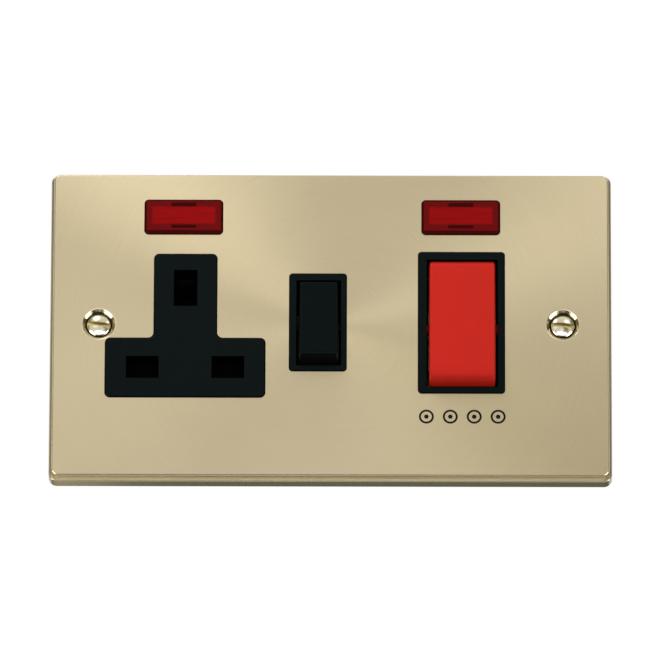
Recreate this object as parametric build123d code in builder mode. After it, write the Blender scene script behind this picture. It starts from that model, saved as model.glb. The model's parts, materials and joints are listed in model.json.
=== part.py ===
from build123d import *
import os
from math import atan2, cos, degrees, radians, sin, sqrt

# The unit stands in its own frame: X to the right seen from the front, Z up, the front towards -Y.
# The plate's rim meets the wall on the plane y = 0, and the origin is midway between its screws.

# Front plate, a pressed pan of brass sheet with a stepped edge
plate_width = 146.0
plate_height = 86.0
plate_depth = 6.0
plate_corner_radius = 2.2
pan_corner_radius = 1.0
sheet = 1.2
face_inset = 0.75
face_step = 2.3
face_corner_radius = 1.9
face_edge_radius = 0.5
ledge_edge_radius = 0.3
window_clearance = 0.15

# Fixing screws and the dimples that they sit in
fixing_centres = 120.6
dimple_radius = 4.25
dimple_edge_radius = 0.4
screw_hole_radius = 2.2
screw_head_radius = 3.05
screw_head_rim = 0.35
screw_head_rise = 0.85
screw_neck_radius = 1.5
screw_neck_length = 1.2
screw_thread_radius = 1.75
screw_length = 25.0
screw_slot_width = 0.9
screw_slot_depth = 0.85
screw_slot_angle = 5.0
screw_relief = 0.3
cut_over = 0.5

# Front moulding
moulding_proud = 0.4
flange = 2.0
flange_margin = 1.4
flange_height = 74.0
flange_corner_radius = 3.0
moulding_edge_radius = 0.35
seat_clearance = 0.25

# Three-pin socket face
socket_x = -37.8
pin_row_z = -12.2
pin_spacing = 22.23
socket_base_width = 41.5
socket_stem_width = 16.3
socket_above_earth = 9.65
socket_shoulder_rise = 8.25
socket_below_row = 8.3
socket_corner_radius = 1.45
slot_lead_in = 0.55
slot_lead_depth = 1.6
live_pin_width = 6.35
live_pin_height = 4.0
earth_pin_width = 4.0
earth_pin_height = 8.0
live_pin_length = 17.7
earth_pin_length = 22.7
pin_room = 1.05
pin_end_gap = 0.5

# Shutter, pushed down by the earth pin
shutter_thickness = 2.0
shutter_travel = 6.4
shutter_play = 0.2
shutter_recess = 0.6
shutter_overlap = 0.95
shutter_wall = 1.3
shutter_chamfer = 0.4
shutter_stem_width = 6.6
shutter_ramp_back = 1.0
shutter_spring_length = 11.5
shutter_spring_radius = 0.8
shutter_spring_wire = 0.35
shutter_spring_pitch = 1.3

# Switch heights and places
switch_z = 0.3
socket_switch_x = -3.15
cooker_x = 34.15
surround_shift_x = -0.2
surround_shift_z = 0.25
surround_corner_radius = 1.0
rocker_gap = 0.2
rocker_side_gap = 0.65
rocker_wall = 1.6
rocker_skirt = 2.6
rocker_side_radius = 0.8
pivot_clearance = 0.06
plunger_clearance = 0.06
trunnion_end_play = 0.15
bearing_reach = 3.0

# Socket switch rocker
socket_surround_width = 14.8
socket_surround_height = 27.3
socket_aperture_width = 11.65
socket_aperture_height = 23.9
socket_pivot_depth = 4.0
socket_rocker_front = 5.8
socket_rocker_tilt = 9.0
socket_rocker_edge = 1.3
socket_trunnion_radius = 1.4
socket_trunnion_length = 1.3

# Cooker switch rocker
cooker_surround_width = 22.4
cooker_surround_height = 39.6
cooker_aperture_width = 18.5
cooker_aperture_height = 35.7
cooker_pivot_depth = 5.0
cooker_rocker_front = 6.7
cooker_rocker_tilt = 5.5
cooker_rocker_edge = 2.6
cooker_trunnion_radius = 1.6
cooker_trunnion_length = 1.6

# Plungers, their springs and the see-saw contacts that they push
plunger_radius = 1.7
plunger_tip_radius = 1.1
plunger_reach = 12.0
plunger_length = 12.0
barrel_wall = 1.1
barrel_reach = 4.2
plunger_spring_radius = 1.2
plunger_spring_wire = 0.4
plunger_spring_pitch = 0.95
spring_seat = 0.05
tip_clearance = 0.1
blade_thickness = 1.1
blade_upper_length = 9.5
blade_lower_length = 6.5
blade_width = 6.5
blade_side_room = 3.2
fulcrum_radius = 0.6
fulcrum_gap = 0.06
fulcrum_set_back = 0.2
rivet_radius = 1.5
rivet_height = 0.8
rivet_from_end = 2.0
contact_gap = 0.1

# Brass strip, cable blocks and bars
strip = 1.2
lug_width = 6.0
block_depth = 11.4
block_length = 10.0
block_edge = 0.4
block_inner_z = 21.0
cable_bore_radius = 2.9
cable_bore_length = 8.5
cable_bore_setback = 4.4
pinch_screw_radius = 2.0
pinch_head_radius = 3.2
pinch_head_height = 2.0
pinch_slot_width = 0.9
pinch_slot_depth = 1.0
pinch_tip_gap = 0.3
pinch_shift = 0.5
pinch_hole_clearance = 0.05
bar_height = 3.5
line_bar_z = -12.75
neutral_bar_z = -18.2
clip_thickness = 0.8
clip_play = 0.1
clip_overhang = 0.25
clip_front_gap = 3.0
earth_x = -15.5
earth_bar_z = 11.3
earth_inner_z = 19.0
earth_bar_width = 5.0
riser_x = -15.0
riser_width = 3.5
strap_width = 6.0
strap_thickness = 0.8
strap_z = 27.0
strap_foot = 5.5

# Neon indicators
lens_z = 30.15
socket_lens_x = -38.4
cooker_lens_x = 33.8
lens_width = 20.3
lens_height = 9.65
lens_corner_radius = 1.2
lens_proud = 0.3
lens_wall = 1.4
lens_front = 0.7
lens_rim = 1.0
lens_clip_width = 6.4
lens_clip_thickness = 1.1
lens_edge_radius = 0.3
well_depth = 9.6
well_wall = 1.2
lamp_radius = 2.4
lamp_length = 12.0
lamp_tip_radius = 0.6
lamp_base_chamfer = 0.9
lead_radius = 0.3
resistor_radius = 1.15
resistor_length = 6.5
resistor_edge = 0.4
cradle_offset = 5.6
cradle_thickness = 1.2
cradle_gap = 0.1
lamp_set_back = 0.3

# Rear housing
housing_left = -56.0
housing_right = 47.0
housing_top = 24.0
housing_bottom = -29.0
housing_rear = 22.0
housing_wall = 1.6
housing_corner_radius = 2.5
housing_edge_radius = 0.8
bay_half_width = 10.45
bay_divider = 1.4
bay_reach = 1.0
bay_front = 7.0
driver_hole_clearance = 0.5

# Screws that hold the housing to the moulding, and clips that hold the plate
boss_radius = 2.6
boss_length = 7.8
case_screw_radius = 1.4
case_screw_clearance = 0.05
case_screw_head_radius = 2.5
case_screw_head_height = 1.8
case_screw_slot = 0.7
case_screw_cross = 4.0
case_screw_left_x = -51.0
case_screw_right_x = 13.0
case_screw_top_z = 20.0
case_screw_bottom_z = -25.1
stud_radius = 1.0
stud_length = 4.4
stud_left_x = -24.0
stud_right_x = 14.0
stud_z = 32.8
clip_radius = 2.6
plate_clip_thickness = 0.5
clip_teeth = 6
clip_tooth_width = 0.5
clip_tooth_reach = 0.6

# Depths, from the front to the back
face_y = -plate_depth
sheet_back_y = face_y + sheet
moulding_face_y = face_y - moulding_proud
flange_back_y = sheet_back_y + flange
channel_y = flange_back_y - shutter_recess
shutter_front_y = channel_y + shutter_play
shutter_back_y = shutter_front_y + shutter_thickness
pad_back_y = shutter_back_y + shutter_play
rear_inner_y = housing_rear - housing_wall
line_bar_y = rear_inner_y - strip
fulcrum_strip_y = line_bar_y - strip
block_front_y = rear_inner_y - block_depth
cable_bore_y = block_front_y + cable_bore_setback
live_web_y = moulding_face_y + live_pin_length + pin_end_gap
neutral_bar_y = live_web_y + strip
earth_web_y = moulding_face_y + earth_pin_length + pin_end_gap
load_strip_y = block_front_y + cable_bore_setback

# Heights and places on the face
live_slot_width = live_pin_width + pin_room
live_slot_height = live_pin_height + pin_room
earth_slot_width = earth_pin_width + pin_room
earth_slot_height = earth_pin_height + pin_room
clip_width = live_pin_width + clip_overhang
earth_z = pin_row_z + pin_spacing
socket_top = earth_z + socket_above_earth
socket_shoulder = pin_row_z + socket_shoulder_rise
socket_bottom = pin_row_z - socket_below_row
surround_z = switch_z + surround_shift_z
live_slots = [(socket_x - pin_spacing / 2, pin_row_z), (socket_x + pin_spacing / 2, pin_row_z)]
screw_places = [(-fixing_centres / 2, 0), (fixing_centres / 2, 0)]
lens_places = [(socket_lens_x, lens_z), (cooker_lens_x, lens_z)]
stud_places = [(x, z) for x in (stud_left_x, stud_right_x) for z in (-stud_z, stud_z)]
case_screw_places = [(x, z) for x in (case_screw_left_x, case_screw_right_x)
                     for z in (case_screw_bottom_z, case_screw_top_z)]
block_outer_z = block_inner_z + block_length
pinch_offset = block_length / 2 + pinch_shift
pole_offset = (bay_half_width + bay_divider / 2) / 2
block_width = bay_half_width - bay_divider / 2 - 2 * seat_clearance
line_x = cooker_x - pole_offset
neutral_x = cooker_x + pole_offset
neutral_pin_x, line_pin_x = live_slots[0][0], live_slots[1][0]
blade_back = blade_thickness + fulcrum_set_back
socket_pivot_y = moulding_face_y + socket_pivot_depth
cooker_pivot_y = moulding_face_y + cooker_pivot_depth
fulcrum_offset = plunger_reach + tip_clearance + blade_back
socket_fulcrum_y = socket_pivot_y + fulcrum_offset
cooker_fulcrum_y = cooker_pivot_y + fulcrum_offset

os.makedirs("parts", exist_ok=True)


def depth_plane(y):
    """Plane at depth y that faces the front, with X to the right and Z up."""
    return Plane.XZ.offset(-y)


def tilted_frame(x, y, z, angle):
    """Frame at a pivot, turned about the X axis."""
    turn = radians(angle)
    return Plane((x, y, z), x_dir=(1, 0, 0), z_dir=(0, -sin(turn), cos(turn)))


def side_plane(frame):
    """Plane through a frame's origin, seen along X: its x is the frame's Y and its y the frame's Z."""
    return Plane(frame.origin, x_dir=frame.y_dir, z_dir=frame.x_dir)


def slab(x_limits, y_limits, z_limits, mode=Mode.ADD):
    """Block between pairs of limits."""
    middle = [(low + high) / 2 for low, high in (x_limits, y_limits, z_limits)]
    with Locations(tuple(middle)):
        Box(*[high - low for low, high in (x_limits, y_limits, z_limits)], mode=mode)


def around(middle, width):
    """Limits of a width about its middle."""
    return (middle - width / 2, middle + width / 2)


def finish(builder, name):
    """Label a sub-part and write it."""
    builder.part.label = name
    export_step(builder.part, f"parts/{name}.step")


def socket_outline(grow):
    """T outline of the socket face, grown by a clearance."""
    with BuildSketch() as outline:
        with Locations((socket_x, (socket_bottom + socket_shoulder) / 2)):
            Rectangle(socket_base_width + 2 * grow, socket_shoulder - socket_bottom + 2 * grow)
        with Locations((socket_x, (socket_bottom + socket_top) / 2)):
            Rectangle(socket_stem_width + 2 * grow, socket_top - socket_bottom + 2 * grow)
        fillet(outline.vertices(), socket_corner_radius)
    return outline.sketch


def surround_outlines(grow):
    """Outlines of the two switch surrounds, grown by a clearance."""
    with BuildSketch() as outlines:
        with Locations((socket_switch_x + surround_shift_x, surround_z)):
            RectangleRounded(socket_surround_width + 2 * grow, socket_surround_height + 2 * grow,
                             surround_corner_radius)
        with Locations((cooker_x + surround_shift_x, surround_z)):
            RectangleRounded(cooker_surround_width + 2 * grow, cooker_surround_height + 2 * grow,
                             surround_corner_radius)
    return outlines.sketch


def lens_outlines(grow):
    """Outlines of the two neon lenses, grown by a clearance or a rim."""
    with BuildSketch() as outlines:
        with Locations(*lens_places):
            RectangleRounded(lens_width + 2 * grow, lens_height + 2 * grow, lens_corner_radius)
    return outlines.sketch


# Front plate
dimple_depth = dimple_radius - screw_hole_radius
dimple_back_radius = dimple_radius + sheet * (sqrt(2) - 1)
lip_reach = dimple_edge_radius * (sqrt(2) - 1)
lip_start = (dimple_radius + lip_reach, 0)
lip_end = (dimple_radius - lip_reach / sqrt(2), lip_reach / sqrt(2))
with BuildPart() as front_plate:
    with BuildSketch(depth_plane(0)):
        RectangleRounded(plate_width, plate_height, plate_corner_radius)
    extrude(amount=plate_depth - face_step)
    fillet(front_plate.faces().sort_by(Axis.Y)[0].edges(), ledge_edge_radius)
    with BuildSketch(depth_plane(face_y + face_step)):
        RectangleRounded(plate_width - 2 * face_inset, plate_height - 2 * face_inset, face_corner_radius)
    extrude(amount=face_step)
    fillet(front_plate.faces().sort_by(Axis.Y)[0].edges(), face_edge_radius)
    with BuildSketch(depth_plane(0)):
        RectangleRounded(plate_width - 2 * sheet, plate_height - 2 * sheet, pan_corner_radius)
    extrude(amount=plate_depth - face_step - sheet, mode=Mode.SUBTRACT)
    hollow_inset = 2 * (face_inset + sheet)
    with BuildSketch(depth_plane(0)):
        RectangleRounded(plate_width - hollow_inset, plate_height - hollow_inset, pan_corner_radius)
    extrude(amount=plate_depth - sheet, mode=Mode.SUBTRACT)
    with Locations(*[(x, sheet_back_y + sheet / 2, z) for x, z in screw_places]):
        Cone(dimple_back_radius - sheet, dimple_back_radius, sheet, rotation=(90, 0, 0))
    for screw_x, screw_z in screw_places:
        with BuildSketch(Plane((screw_x, face_y, screw_z))):
            with BuildLine():
                RadiusArc(lip_start, lip_end, dimple_edge_radius)
                Polyline(lip_end, (screw_hole_radius, dimple_depth), (screw_hole_radius, plate_depth),
                         (0, plate_depth), (0, 0), lip_start)
            make_face()
        revolve(axis=Axis((screw_x, 0, screw_z), (0, 1, 0)), mode=Mode.SUBTRACT)
    with BuildSketch(depth_plane(sheet_back_y)):
        add(socket_outline(window_clearance))
        add(surround_outlines(window_clearance))
        add(lens_outlines(window_clearance))
    extrude(amount=2 * sheet, mode=Mode.SUBTRACT)
    with BuildSketch(depth_plane(sheet_back_y)):
        with Locations(*stud_places):
            Circle(stud_radius)
    extrude(amount=-stud_length)
finish(front_plate, "front_plate")


# Fixing screws
head_edge_y = face_y + dimple_radius - screw_head_radius
head_rim_y = head_edge_y - screw_head_rim
head_top_y = head_rim_y - screw_head_rise
neck_y = head_edge_y + screw_head_radius - screw_neck_radius
thread_y = neck_y + screw_neck_length
screw_tip_y = head_edge_y + screw_length
with BuildPart() as fixing_screws:
    for screw_x, screw_z in screw_places:
        with BuildSketch(Plane((screw_x, 0, screw_z))):
            with BuildLine():
                TangentArc((0, head_top_y), (screw_head_radius, head_rim_y), tangent=(1, 0))
                Polyline((screw_head_radius, head_rim_y), (screw_head_radius, head_edge_y),
                         (screw_neck_radius, neck_y), (screw_neck_radius, thread_y),
                         (screw_thread_radius, thread_y), (screw_thread_radius, screw_tip_y),
                         (0, screw_tip_y), (0, head_top_y))
            make_face()
        revolve(axis=Axis((screw_x, 0, screw_z), (0, 1, 0)))
        with Locations(Location((screw_x, head_top_y, screw_z), (0, screw_slot_angle, 0))):
            Box(2 * (screw_head_radius + cut_over), 2 * screw_slot_depth, screw_slot_width,
                mode=Mode.SUBTRACT)
finish(fixing_screws, "fixing_screws")


# Front moulding: flange, socket face, shutter channel, surrounds with bearings, lamp wells and bosses
flange_left = socket_x - socket_base_width / 2 - flange_margin
flange_right = cooker_x + cooker_surround_width / 2 + 2 * flange_margin
shutter_half = pin_spacing / 2 + live_slot_width / 2 + shutter_overlap
bar_top = pin_row_z + live_slot_height / 2 + shutter_overlap
bar_bottom = pin_row_z - live_slot_height / 2 - shutter_overlap
stem_top = earth_z - earth_pin_height / 2 + shutter_travel + shutter_wall
channel_bottom = bar_bottom - shutter_travel - shutter_play
spring_bottom = bar_bottom - shutter_play / 2 - shutter_spring_length
spring_half = shutter_spring_radius + shutter_spring_wire / 2 + shutter_play
pad_limits_x = around(socket_x, 2 * (shutter_half + shutter_wall))
pad_limits_z = (spring_bottom - shutter_wall, stem_top + shutter_play + shutter_wall)
lens_rim_y = sheet_back_y + lens_rim
well_back_y = sheet_back_y + well_depth
well_width = lens_width - 2 * lens_wall
well_height = lens_height - 2 * lens_wall
cradle_y = sheet_back_y + lamp_set_back + 2 * lamp_radius + cradle_gap
boss_back_y = flange_back_y + boss_length
switches = [
    (socket_switch_x, socket_pivot_y, socket_surround_width, socket_surround_height,
     socket_aperture_width, socket_aperture_height, socket_pivot_depth,
     socket_trunnion_radius, socket_trunnion_length),
    (cooker_x, cooker_pivot_y, cooker_surround_width, cooker_surround_height,
     cooker_aperture_width, cooker_aperture_height, cooker_pivot_depth,
     cooker_trunnion_radius, cooker_trunnion_length),
]


def end_radius(aperture_height, pivot_depth):
    """Radius of a rocker's end walls about its pivot, clear of the aperture at the surround's face."""
    return sqrt((aperture_height / 2 - rocker_gap) ** 2 + pivot_depth ** 2)


with BuildPart() as front_moulding:
    with BuildSketch(depth_plane(sheet_back_y)):
        with Locations(((flange_left + flange_right) / 2, 0)):
            RectangleRounded(flange_right - flange_left, flange_height, flange_corner_radius)
        with Locations(*screw_places):
            Circle(dimple_back_radius + screw_relief, mode=Mode.SUBTRACT)
    extrude(amount=-flange)
    with BuildSketch(depth_plane(flange_back_y)):
        add(socket_outline(0))
        add(surround_outlines(0))
    extrude(amount=flange_back_y - moulding_face_y)
    fillet(front_moulding.faces().filter_by(Plane.XZ).group_by(Axis.Y)[0].edges(), moulding_edge_radius)
    with BuildSketch(depth_plane(pad_back_y)):
        with Locations((socket_x, sum(pad_limits_z) / 2)):
            Rectangle(pad_limits_x[1] - pad_limits_x[0], pad_limits_z[1] - pad_limits_z[0])
    extrude(amount=pad_back_y - flange_back_y)
    slab(around(socket_x, 2 * (shutter_half + shutter_play)), (channel_y, pad_back_y),
         (channel_bottom, bar_top + shutter_play), Mode.SUBTRACT)
    slab(around(socket_x, shutter_stem_width + 2 * shutter_play), (channel_y, pad_back_y),
         (bar_bottom, stem_top + shutter_play), Mode.SUBTRACT)
    slab(around(socket_x, 2 * spring_half), (channel_y, pad_back_y), (spring_bottom, bar_bottom),
         Mode.SUBTRACT)
    with BuildSketch(depth_plane(moulding_face_y)):
        with Locations(*live_slots):
            Rectangle(live_slot_width, live_slot_height)
        with Locations((socket_x, earth_z)):
            Rectangle(earth_slot_width, earth_slot_height)
    extrude(amount=moulding_face_y - pad_back_y, mode=Mode.SUBTRACT)
    with BuildSketch(depth_plane(moulding_face_y)):
        with Locations(*live_slots):
            Rectangle(live_slot_width + 2 * slot_lead_in, live_slot_height + 2 * slot_lead_in)
        with Locations((socket_x, earth_z)):
            Rectangle(earth_slot_width + 2 * slot_lead_in, earth_slot_height + 2 * slot_lead_in)
    extrude(amount=-slot_lead_depth, taper=degrees(atan2(slot_lead_in, slot_lead_depth)), mode=Mode.SUBTRACT)
    for (x, pivot_y, surround_w, surround_h, aperture_w, aperture_h, pivot_depth,
         trunnion_r, trunnion_l) in switches:
        tube_back_y = pivot_y + bearing_reach
        with BuildSketch(depth_plane(tube_back_y)):
            with Locations((x + surround_shift_x, surround_z)):
                RectangleRounded(surround_w, surround_h, surround_corner_radius)
        extrude(amount=tube_back_y - flange_back_y)
        sweep_radius = end_radius(aperture_h, pivot_depth) + rocker_gap
        slab(around(x, aperture_w), (moulding_face_y, tube_back_y), around(switch_z, aperture_h),
             Mode.SUBTRACT)
        slab(around(x, aperture_w), (pivot_y, tube_back_y), around(switch_z, 2 * sweep_radius), Mode.SUBTRACT)
        with Locations((x, pivot_y, switch_z)):
            Cylinder(sweep_radius, aperture_w, rotation=(0, 90, 0), mode=Mode.SUBTRACT)
        bearing_width = aperture_w + 2 * (trunnion_l - rocker_side_gap + trunnion_end_play)
        bearing_r = trunnion_r + pivot_clearance
        with Locations((x, pivot_y, switch_z)):
            Cylinder(bearing_r, bearing_width, rotation=(0, 90, 0), mode=Mode.SUBTRACT)
        slab(around(x, bearing_width), (pivot_y, tube_back_y), around(switch_z, 2 * bearing_r), Mode.SUBTRACT)
    with BuildSketch(depth_plane(well_back_y)):
        with Locations(*lens_places):
            Rectangle(well_width + 2 * well_wall, well_height + 2 * well_wall)
    extrude(amount=well_back_y - flange_back_y)
    with BuildSketch(depth_plane(lens_rim_y)):
        add(lens_outlines(lens_rim + window_clearance))
    extrude(amount=lens_rim, mode=Mode.SUBTRACT)
    with BuildSketch(depth_plane(well_back_y - well_wall)):
        with Locations(*lens_places):
            Rectangle(well_width, well_height)
    extrude(amount=well_depth - well_wall, mode=Mode.SUBTRACT)
    for x, z in lens_places:
        for side in (-1, 1):
            slab(around(x + side * cradle_offset, cradle_thickness), (cradle_y, well_back_y - well_wall / 2),
                 around(z, well_height))
    with Locations(*[(x, (flange_back_y + boss_back_y) / 2, z) for x, z in case_screw_places]):
        Cylinder(boss_radius, boss_length, rotation=(90, 0, 0))
        Cylinder(case_screw_radius + case_screw_clearance, boss_length, rotation=(90, 0, 0),
                 mode=Mode.SUBTRACT)
    with Locations(*[(x, sheet_back_y + flange / 2, z) for x, z in stud_places]):
        Cylinder(stud_radius + window_clearance, flange, rotation=(90, 0, 0), mode=Mode.SUBTRACT)
    slab(around(earth_x, strap_width + 2 * seat_clearance), (sheet_back_y, flange_back_y),
         (strap_z - seat_clearance, strap_z + strap_foot + seat_clearance), Mode.SUBTRACT)
finish(front_moulding, "front_moulding")


# Shutter: a bar across the live slots on a stem that ends in the earth pin's ramp
ramp_bottom = earth_z - earth_pin_height / 2
ramp_back_y = shutter_front_y + shutter_travel + shutter_ramp_back
with BuildPart() as shutter:
    slab(around(socket_x, 2 * shutter_half), (shutter_front_y, shutter_back_y), (bar_bottom, bar_top))
    slab(around(socket_x, shutter_stem_width), (shutter_front_y, shutter_back_y),
         (bar_top, ramp_bottom))
    with BuildSketch(Plane.YZ.offset(socket_x)):
        with BuildLine():
            Polyline((shutter_front_y, ramp_bottom - shutter_wall), (shutter_front_y, ramp_bottom),
                     (shutter_front_y + shutter_travel, stem_top - shutter_wall),
                     (ramp_back_y, stem_top - shutter_wall), (ramp_back_y, ramp_bottom - shutter_wall),
                     close=True)
        make_face()
    extrude(amount=shutter_stem_width / 2, both=True)
    chamfer(shutter.edges().filter_by(Axis.X).group_by(Axis.Z)[0], shutter_chamfer)
finish(shutter, "shutter")


def coil_spring(frame, axis_dir, start, length, radius, wire, pitch):
    """Round wire wound along a direction, with its coils between two seats."""
    base = frame.origin + axis_dir * (start + wire / 2)
    with BuildPart() as spring:
        with BuildLine() as coil:
            Helix(pitch, length - wire, radius, center=base, direction=axis_dir)
        with BuildSketch(Plane(coil.line @ 0, z_dir=coil.line % 0)):
            RegularPolygon(wire / 2, 6)
        sweep(is_frenet=True)
    return spring


shutter_spring = coil_spring(Plane((socket_x, (channel_y + pad_back_y) / 2, spring_bottom)), Vector(0, 0, 1),
                             spring_seat, shutter_spring_length, shutter_spring_radius,
                             shutter_spring_wire, shutter_spring_pitch)
finish(shutter_spring, "shutter_spring")


def rocker_face(radius, front, skirt):
    """Side view of a rocker about its pivot: flat front, end walls on one radius, open back."""
    front_half = sqrt(radius ** 2 - front ** 2)
    back_half = sqrt(radius ** 2 - skirt ** 2)
    middle = (atan2(front_half, -front) + atan2(back_half, skirt)) / 2
    with BuildSketch() as profile:
        with BuildLine():
            Line((-front, -front_half), (-front, front_half))
            ThreePointArc((-front, front_half), (radius * cos(middle), radius * sin(middle)),
                          (skirt, back_half))
            Line((skirt, back_half), (skirt, -back_half))
            ThreePointArc((skirt, -back_half), (radius * cos(middle), -radius * sin(middle)),
                          (-front, -front_half))
        make_face()
    return profile.sketch


def rocker_cap(frame, width, radius, front, edge, trunnion_radius, trunnion_length, barrels):
    """Hollow rocker with trunnions at its sides and a blind barrel for each plunger."""
    barrel_front = front - rocker_wall
    barrel_radius = plunger_radius + plunger_clearance + barrel_wall
    with BuildPart(frame) as cap:
        with BuildSketch(side_plane(frame)):
            add(rocker_face(radius, front, rocker_skirt))
        extrude(amount=width / 2, both=True)
        front_face = cap.faces().sort_by(Axis(frame.origin, frame.y_dir))[0]
        fillet(front_face.edges().filter_by(Axis.X), edge)
        side_edges = cap.faces().filter_by(Axis.X).edges()
        fillet(side_edges.sort_by(Axis(frame.origin, frame.y_dir))[:-2], rocker_side_radius)
        with BuildSketch(side_plane(frame)):
            add(rocker_face(radius - rocker_wall, front - rocker_wall, rocker_skirt))
        extrude(amount=width / 2 - rocker_wall, both=True, mode=Mode.SUBTRACT)
        with Locations(*[(offset, (barrel_reach - front + rocker_wall / 2) / 2, 0) for offset in barrels]):
            Cylinder(barrel_radius, barrel_reach + front - rocker_wall / 2, rotation=(90, 0, 0))
        stub = trunnion_length + rocker_wall
        reach = width / 2 - rocker_wall + stub / 2
        with Locations((-reach, 0, 0), (reach, 0, 0)):
            Cylinder(trunnion_radius, stub, rotation=(0, 90, 0))
        with Locations(*[(offset, (barrel_reach - barrel_front) / 2, 0) for offset in barrels]):
            Cylinder(plunger_radius + plunger_clearance, barrel_reach + barrel_front,
                     rotation=(90, 0, 0), mode=Mode.SUBTRACT)
    return cap


def plunger(frame, offset):
    """Round-nosed pin that slides in a rocker's barrel."""
    nose_base = plunger_reach - plunger_tip_radius
    tail = plunger_reach - plunger_length
    with BuildPart() as pin:
        with BuildSketch(Plane(frame.origin + frame.x_dir * offset, x_dir=frame.x_dir, z_dir=frame.z_dir)):
            with BuildLine():
                Polyline((0, tail), (plunger_radius, tail), (plunger_radius, nose_base - plunger_tip_radius),
                         (plunger_tip_radius, nose_base))
                TangentArc((plunger_tip_radius, nose_base), (0, plunger_reach), tangent=(0, 1))
                Line((0, plunger_reach), (0, tail))
            make_face()
        revolve(axis=Axis(frame.origin + frame.x_dir * offset, frame.y_dir))
    return pin


def plunger_spring(frame, offset, front):
    """Spring between a barrel's blind end and the plunger's tail."""
    start = rocker_wall - front + spring_seat
    length = plunger_reach - plunger_length - spring_seat - start
    seat = Plane(frame.origin + frame.x_dir * offset, x_dir=frame.x_dir, z_dir=frame.z_dir)
    return coil_spring(seat, frame.y_dir, start, length, plunger_spring_radius, plunger_spring_wire,
                       plunger_spring_pitch)


def see_saw(frame, tilt):
    """Contact blade bent to a shallow V over a groove that rocks on the fulcrum, with a contact rivet."""
    bend = radians(tilt)
    lean, rise = sin(bend), cos(bend)
    crease = (-blade_back, 0)
    upper = (crease[0] - blade_upper_length * lean, blade_upper_length * rise)
    lower = (crease[0] - blade_lower_length * lean, -blade_lower_length * rise)
    thick_y, thick_z = blade_thickness * rise, blade_thickness * lean
    rivet_at = blade_upper_length - rivet_from_end
    rivet_y = crease[0] - rivet_at * lean + thick_y
    rivet_z = rivet_at * rise + thick_z
    with BuildPart() as blade:
        with BuildSketch(side_plane(frame)):
            with BuildLine():
                Polyline(upper, crease, lower, (lower[0] + thick_y, lower[1] - thick_z),
                         (crease[0] + blade_thickness / rise, 0), (upper[0] + thick_y, upper[1] + thick_z),
                         close=True)
            make_face()
            Circle(fulcrum_radius + fulcrum_gap, mode=Mode.SUBTRACT)
        extrude(amount=blade_width / 2, both=True)
        rivet_seat = frame.origin + frame.y_dir * rivet_y + frame.z_dir * rivet_z
        rivet_dir = frame.y_dir * rise + frame.z_dir * lean
        with BuildSketch(Plane(rivet_seat, x_dir=frame.x_dir, z_dir=rivet_dir)):
            Circle(rivet_radius)
        extrude(amount=rivet_height)
    return blade


def closed_rivet(fulcrum_y, tilt):
    """Depth and height of the moving rivet's face with the blade's upper arm upright, contacts closed."""
    turn = radians(tilt)
    face = fulcrum_y - blade_back * cos(turn) + blade_thickness + rivet_height
    height = switch_z + blade_back * sin(turn) + blade_upper_length - rivet_from_end
    return face, height


# Rockers with their plungers, springs and see-saw contacts, at rest with the top pressed in
socket_frame = tilted_frame(socket_switch_x, socket_pivot_y, switch_z, -socket_rocker_tilt)
cooker_frame = tilted_frame(cooker_x, cooker_pivot_y, switch_z, -cooker_rocker_tilt)
socket_rocker = rocker_cap(socket_frame, socket_aperture_width - 2 * rocker_side_gap,
                           end_radius(socket_aperture_height, socket_pivot_depth), socket_rocker_front,
                           socket_rocker_edge, socket_trunnion_radius, socket_trunnion_length, [0])
finish(socket_rocker, "socket_rocker")
cooker_rocker = rocker_cap(cooker_frame, cooker_aperture_width - 2 * rocker_side_gap,
                           end_radius(cooker_aperture_height, cooker_pivot_depth), cooker_rocker_front,
                           cooker_rocker_edge, cooker_trunnion_radius, cooker_trunnion_length,
                           [-pole_offset, pole_offset])
finish(cooker_rocker, "cooker_rocker")
poles = [
    ("socket", socket_frame, 0, socket_rocker_front, socket_fulcrum_y, socket_rocker_tilt),
    ("cooker_line", cooker_frame, -pole_offset, cooker_rocker_front, cooker_fulcrum_y, cooker_rocker_tilt),
    ("cooker_neutral", cooker_frame, pole_offset, cooker_rocker_front, cooker_fulcrum_y, cooker_rocker_tilt),
]
for name, frame, offset, front, fulcrum_y, tilt in poles:
    finish(plunger(frame, offset), f"{name}_plunger")
    finish(plunger_spring(frame, offset, front), f"{name}_plunger_spring")
    blade_frame = tilted_frame(frame.origin.X + offset, fulcrum_y, switch_z, tilt)
    finish(see_saw(blade_frame, tilt), f"{name}_moving_contact")


def cable_block(x, outward, inner_z):
    """Limits of a cable block whose mouth faces up or down."""
    ends = sorted((outward * inner_z, outward * (inner_z + block_length)))
    return around(x, block_width), (block_front_y, rear_inner_y), tuple(ends)


def bore_block(x, outward, inner_z):
    """Cut the cable bore from a block's mouth and the pinch screw's hole from its back."""
    mouth_z = outward * (inner_z + block_length)
    with Locations((x, cable_bore_y, mouth_z - outward * cable_bore_length / 2)):
        Cylinder(cable_bore_radius, cable_bore_length, mode=Mode.SUBTRACT)
    with Locations((x, (cable_bore_y + rear_inner_y) / 2, outward * (inner_z + pinch_offset))):
        Cylinder(pinch_screw_radius + pinch_hole_clearance, rear_inner_y - cable_bore_y,
                 rotation=(90, 0, 0), mode=Mode.SUBTRACT)


def fulcrum_profile(fulcrum_y, foot_z):
    """Side view of a fulcrum: a round-nosed blade on a strip that runs down to its foot."""
    strip_top = switch_z + 2 * fulcrum_radius
    with BuildSketch() as profile:
        with Locations((fulcrum_y, switch_z)):
            Circle(fulcrum_radius)
        with Locations(((fulcrum_y + fulcrum_strip_y) / 2, switch_z)):
            Rectangle(fulcrum_strip_y - fulcrum_y, 2 * fulcrum_radius)
        with Locations((fulcrum_strip_y + strip / 2, (foot_z + strip_top) / 2)):
            Rectangle(strip, strip_top - foot_z)
    return profile.sketch


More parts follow.
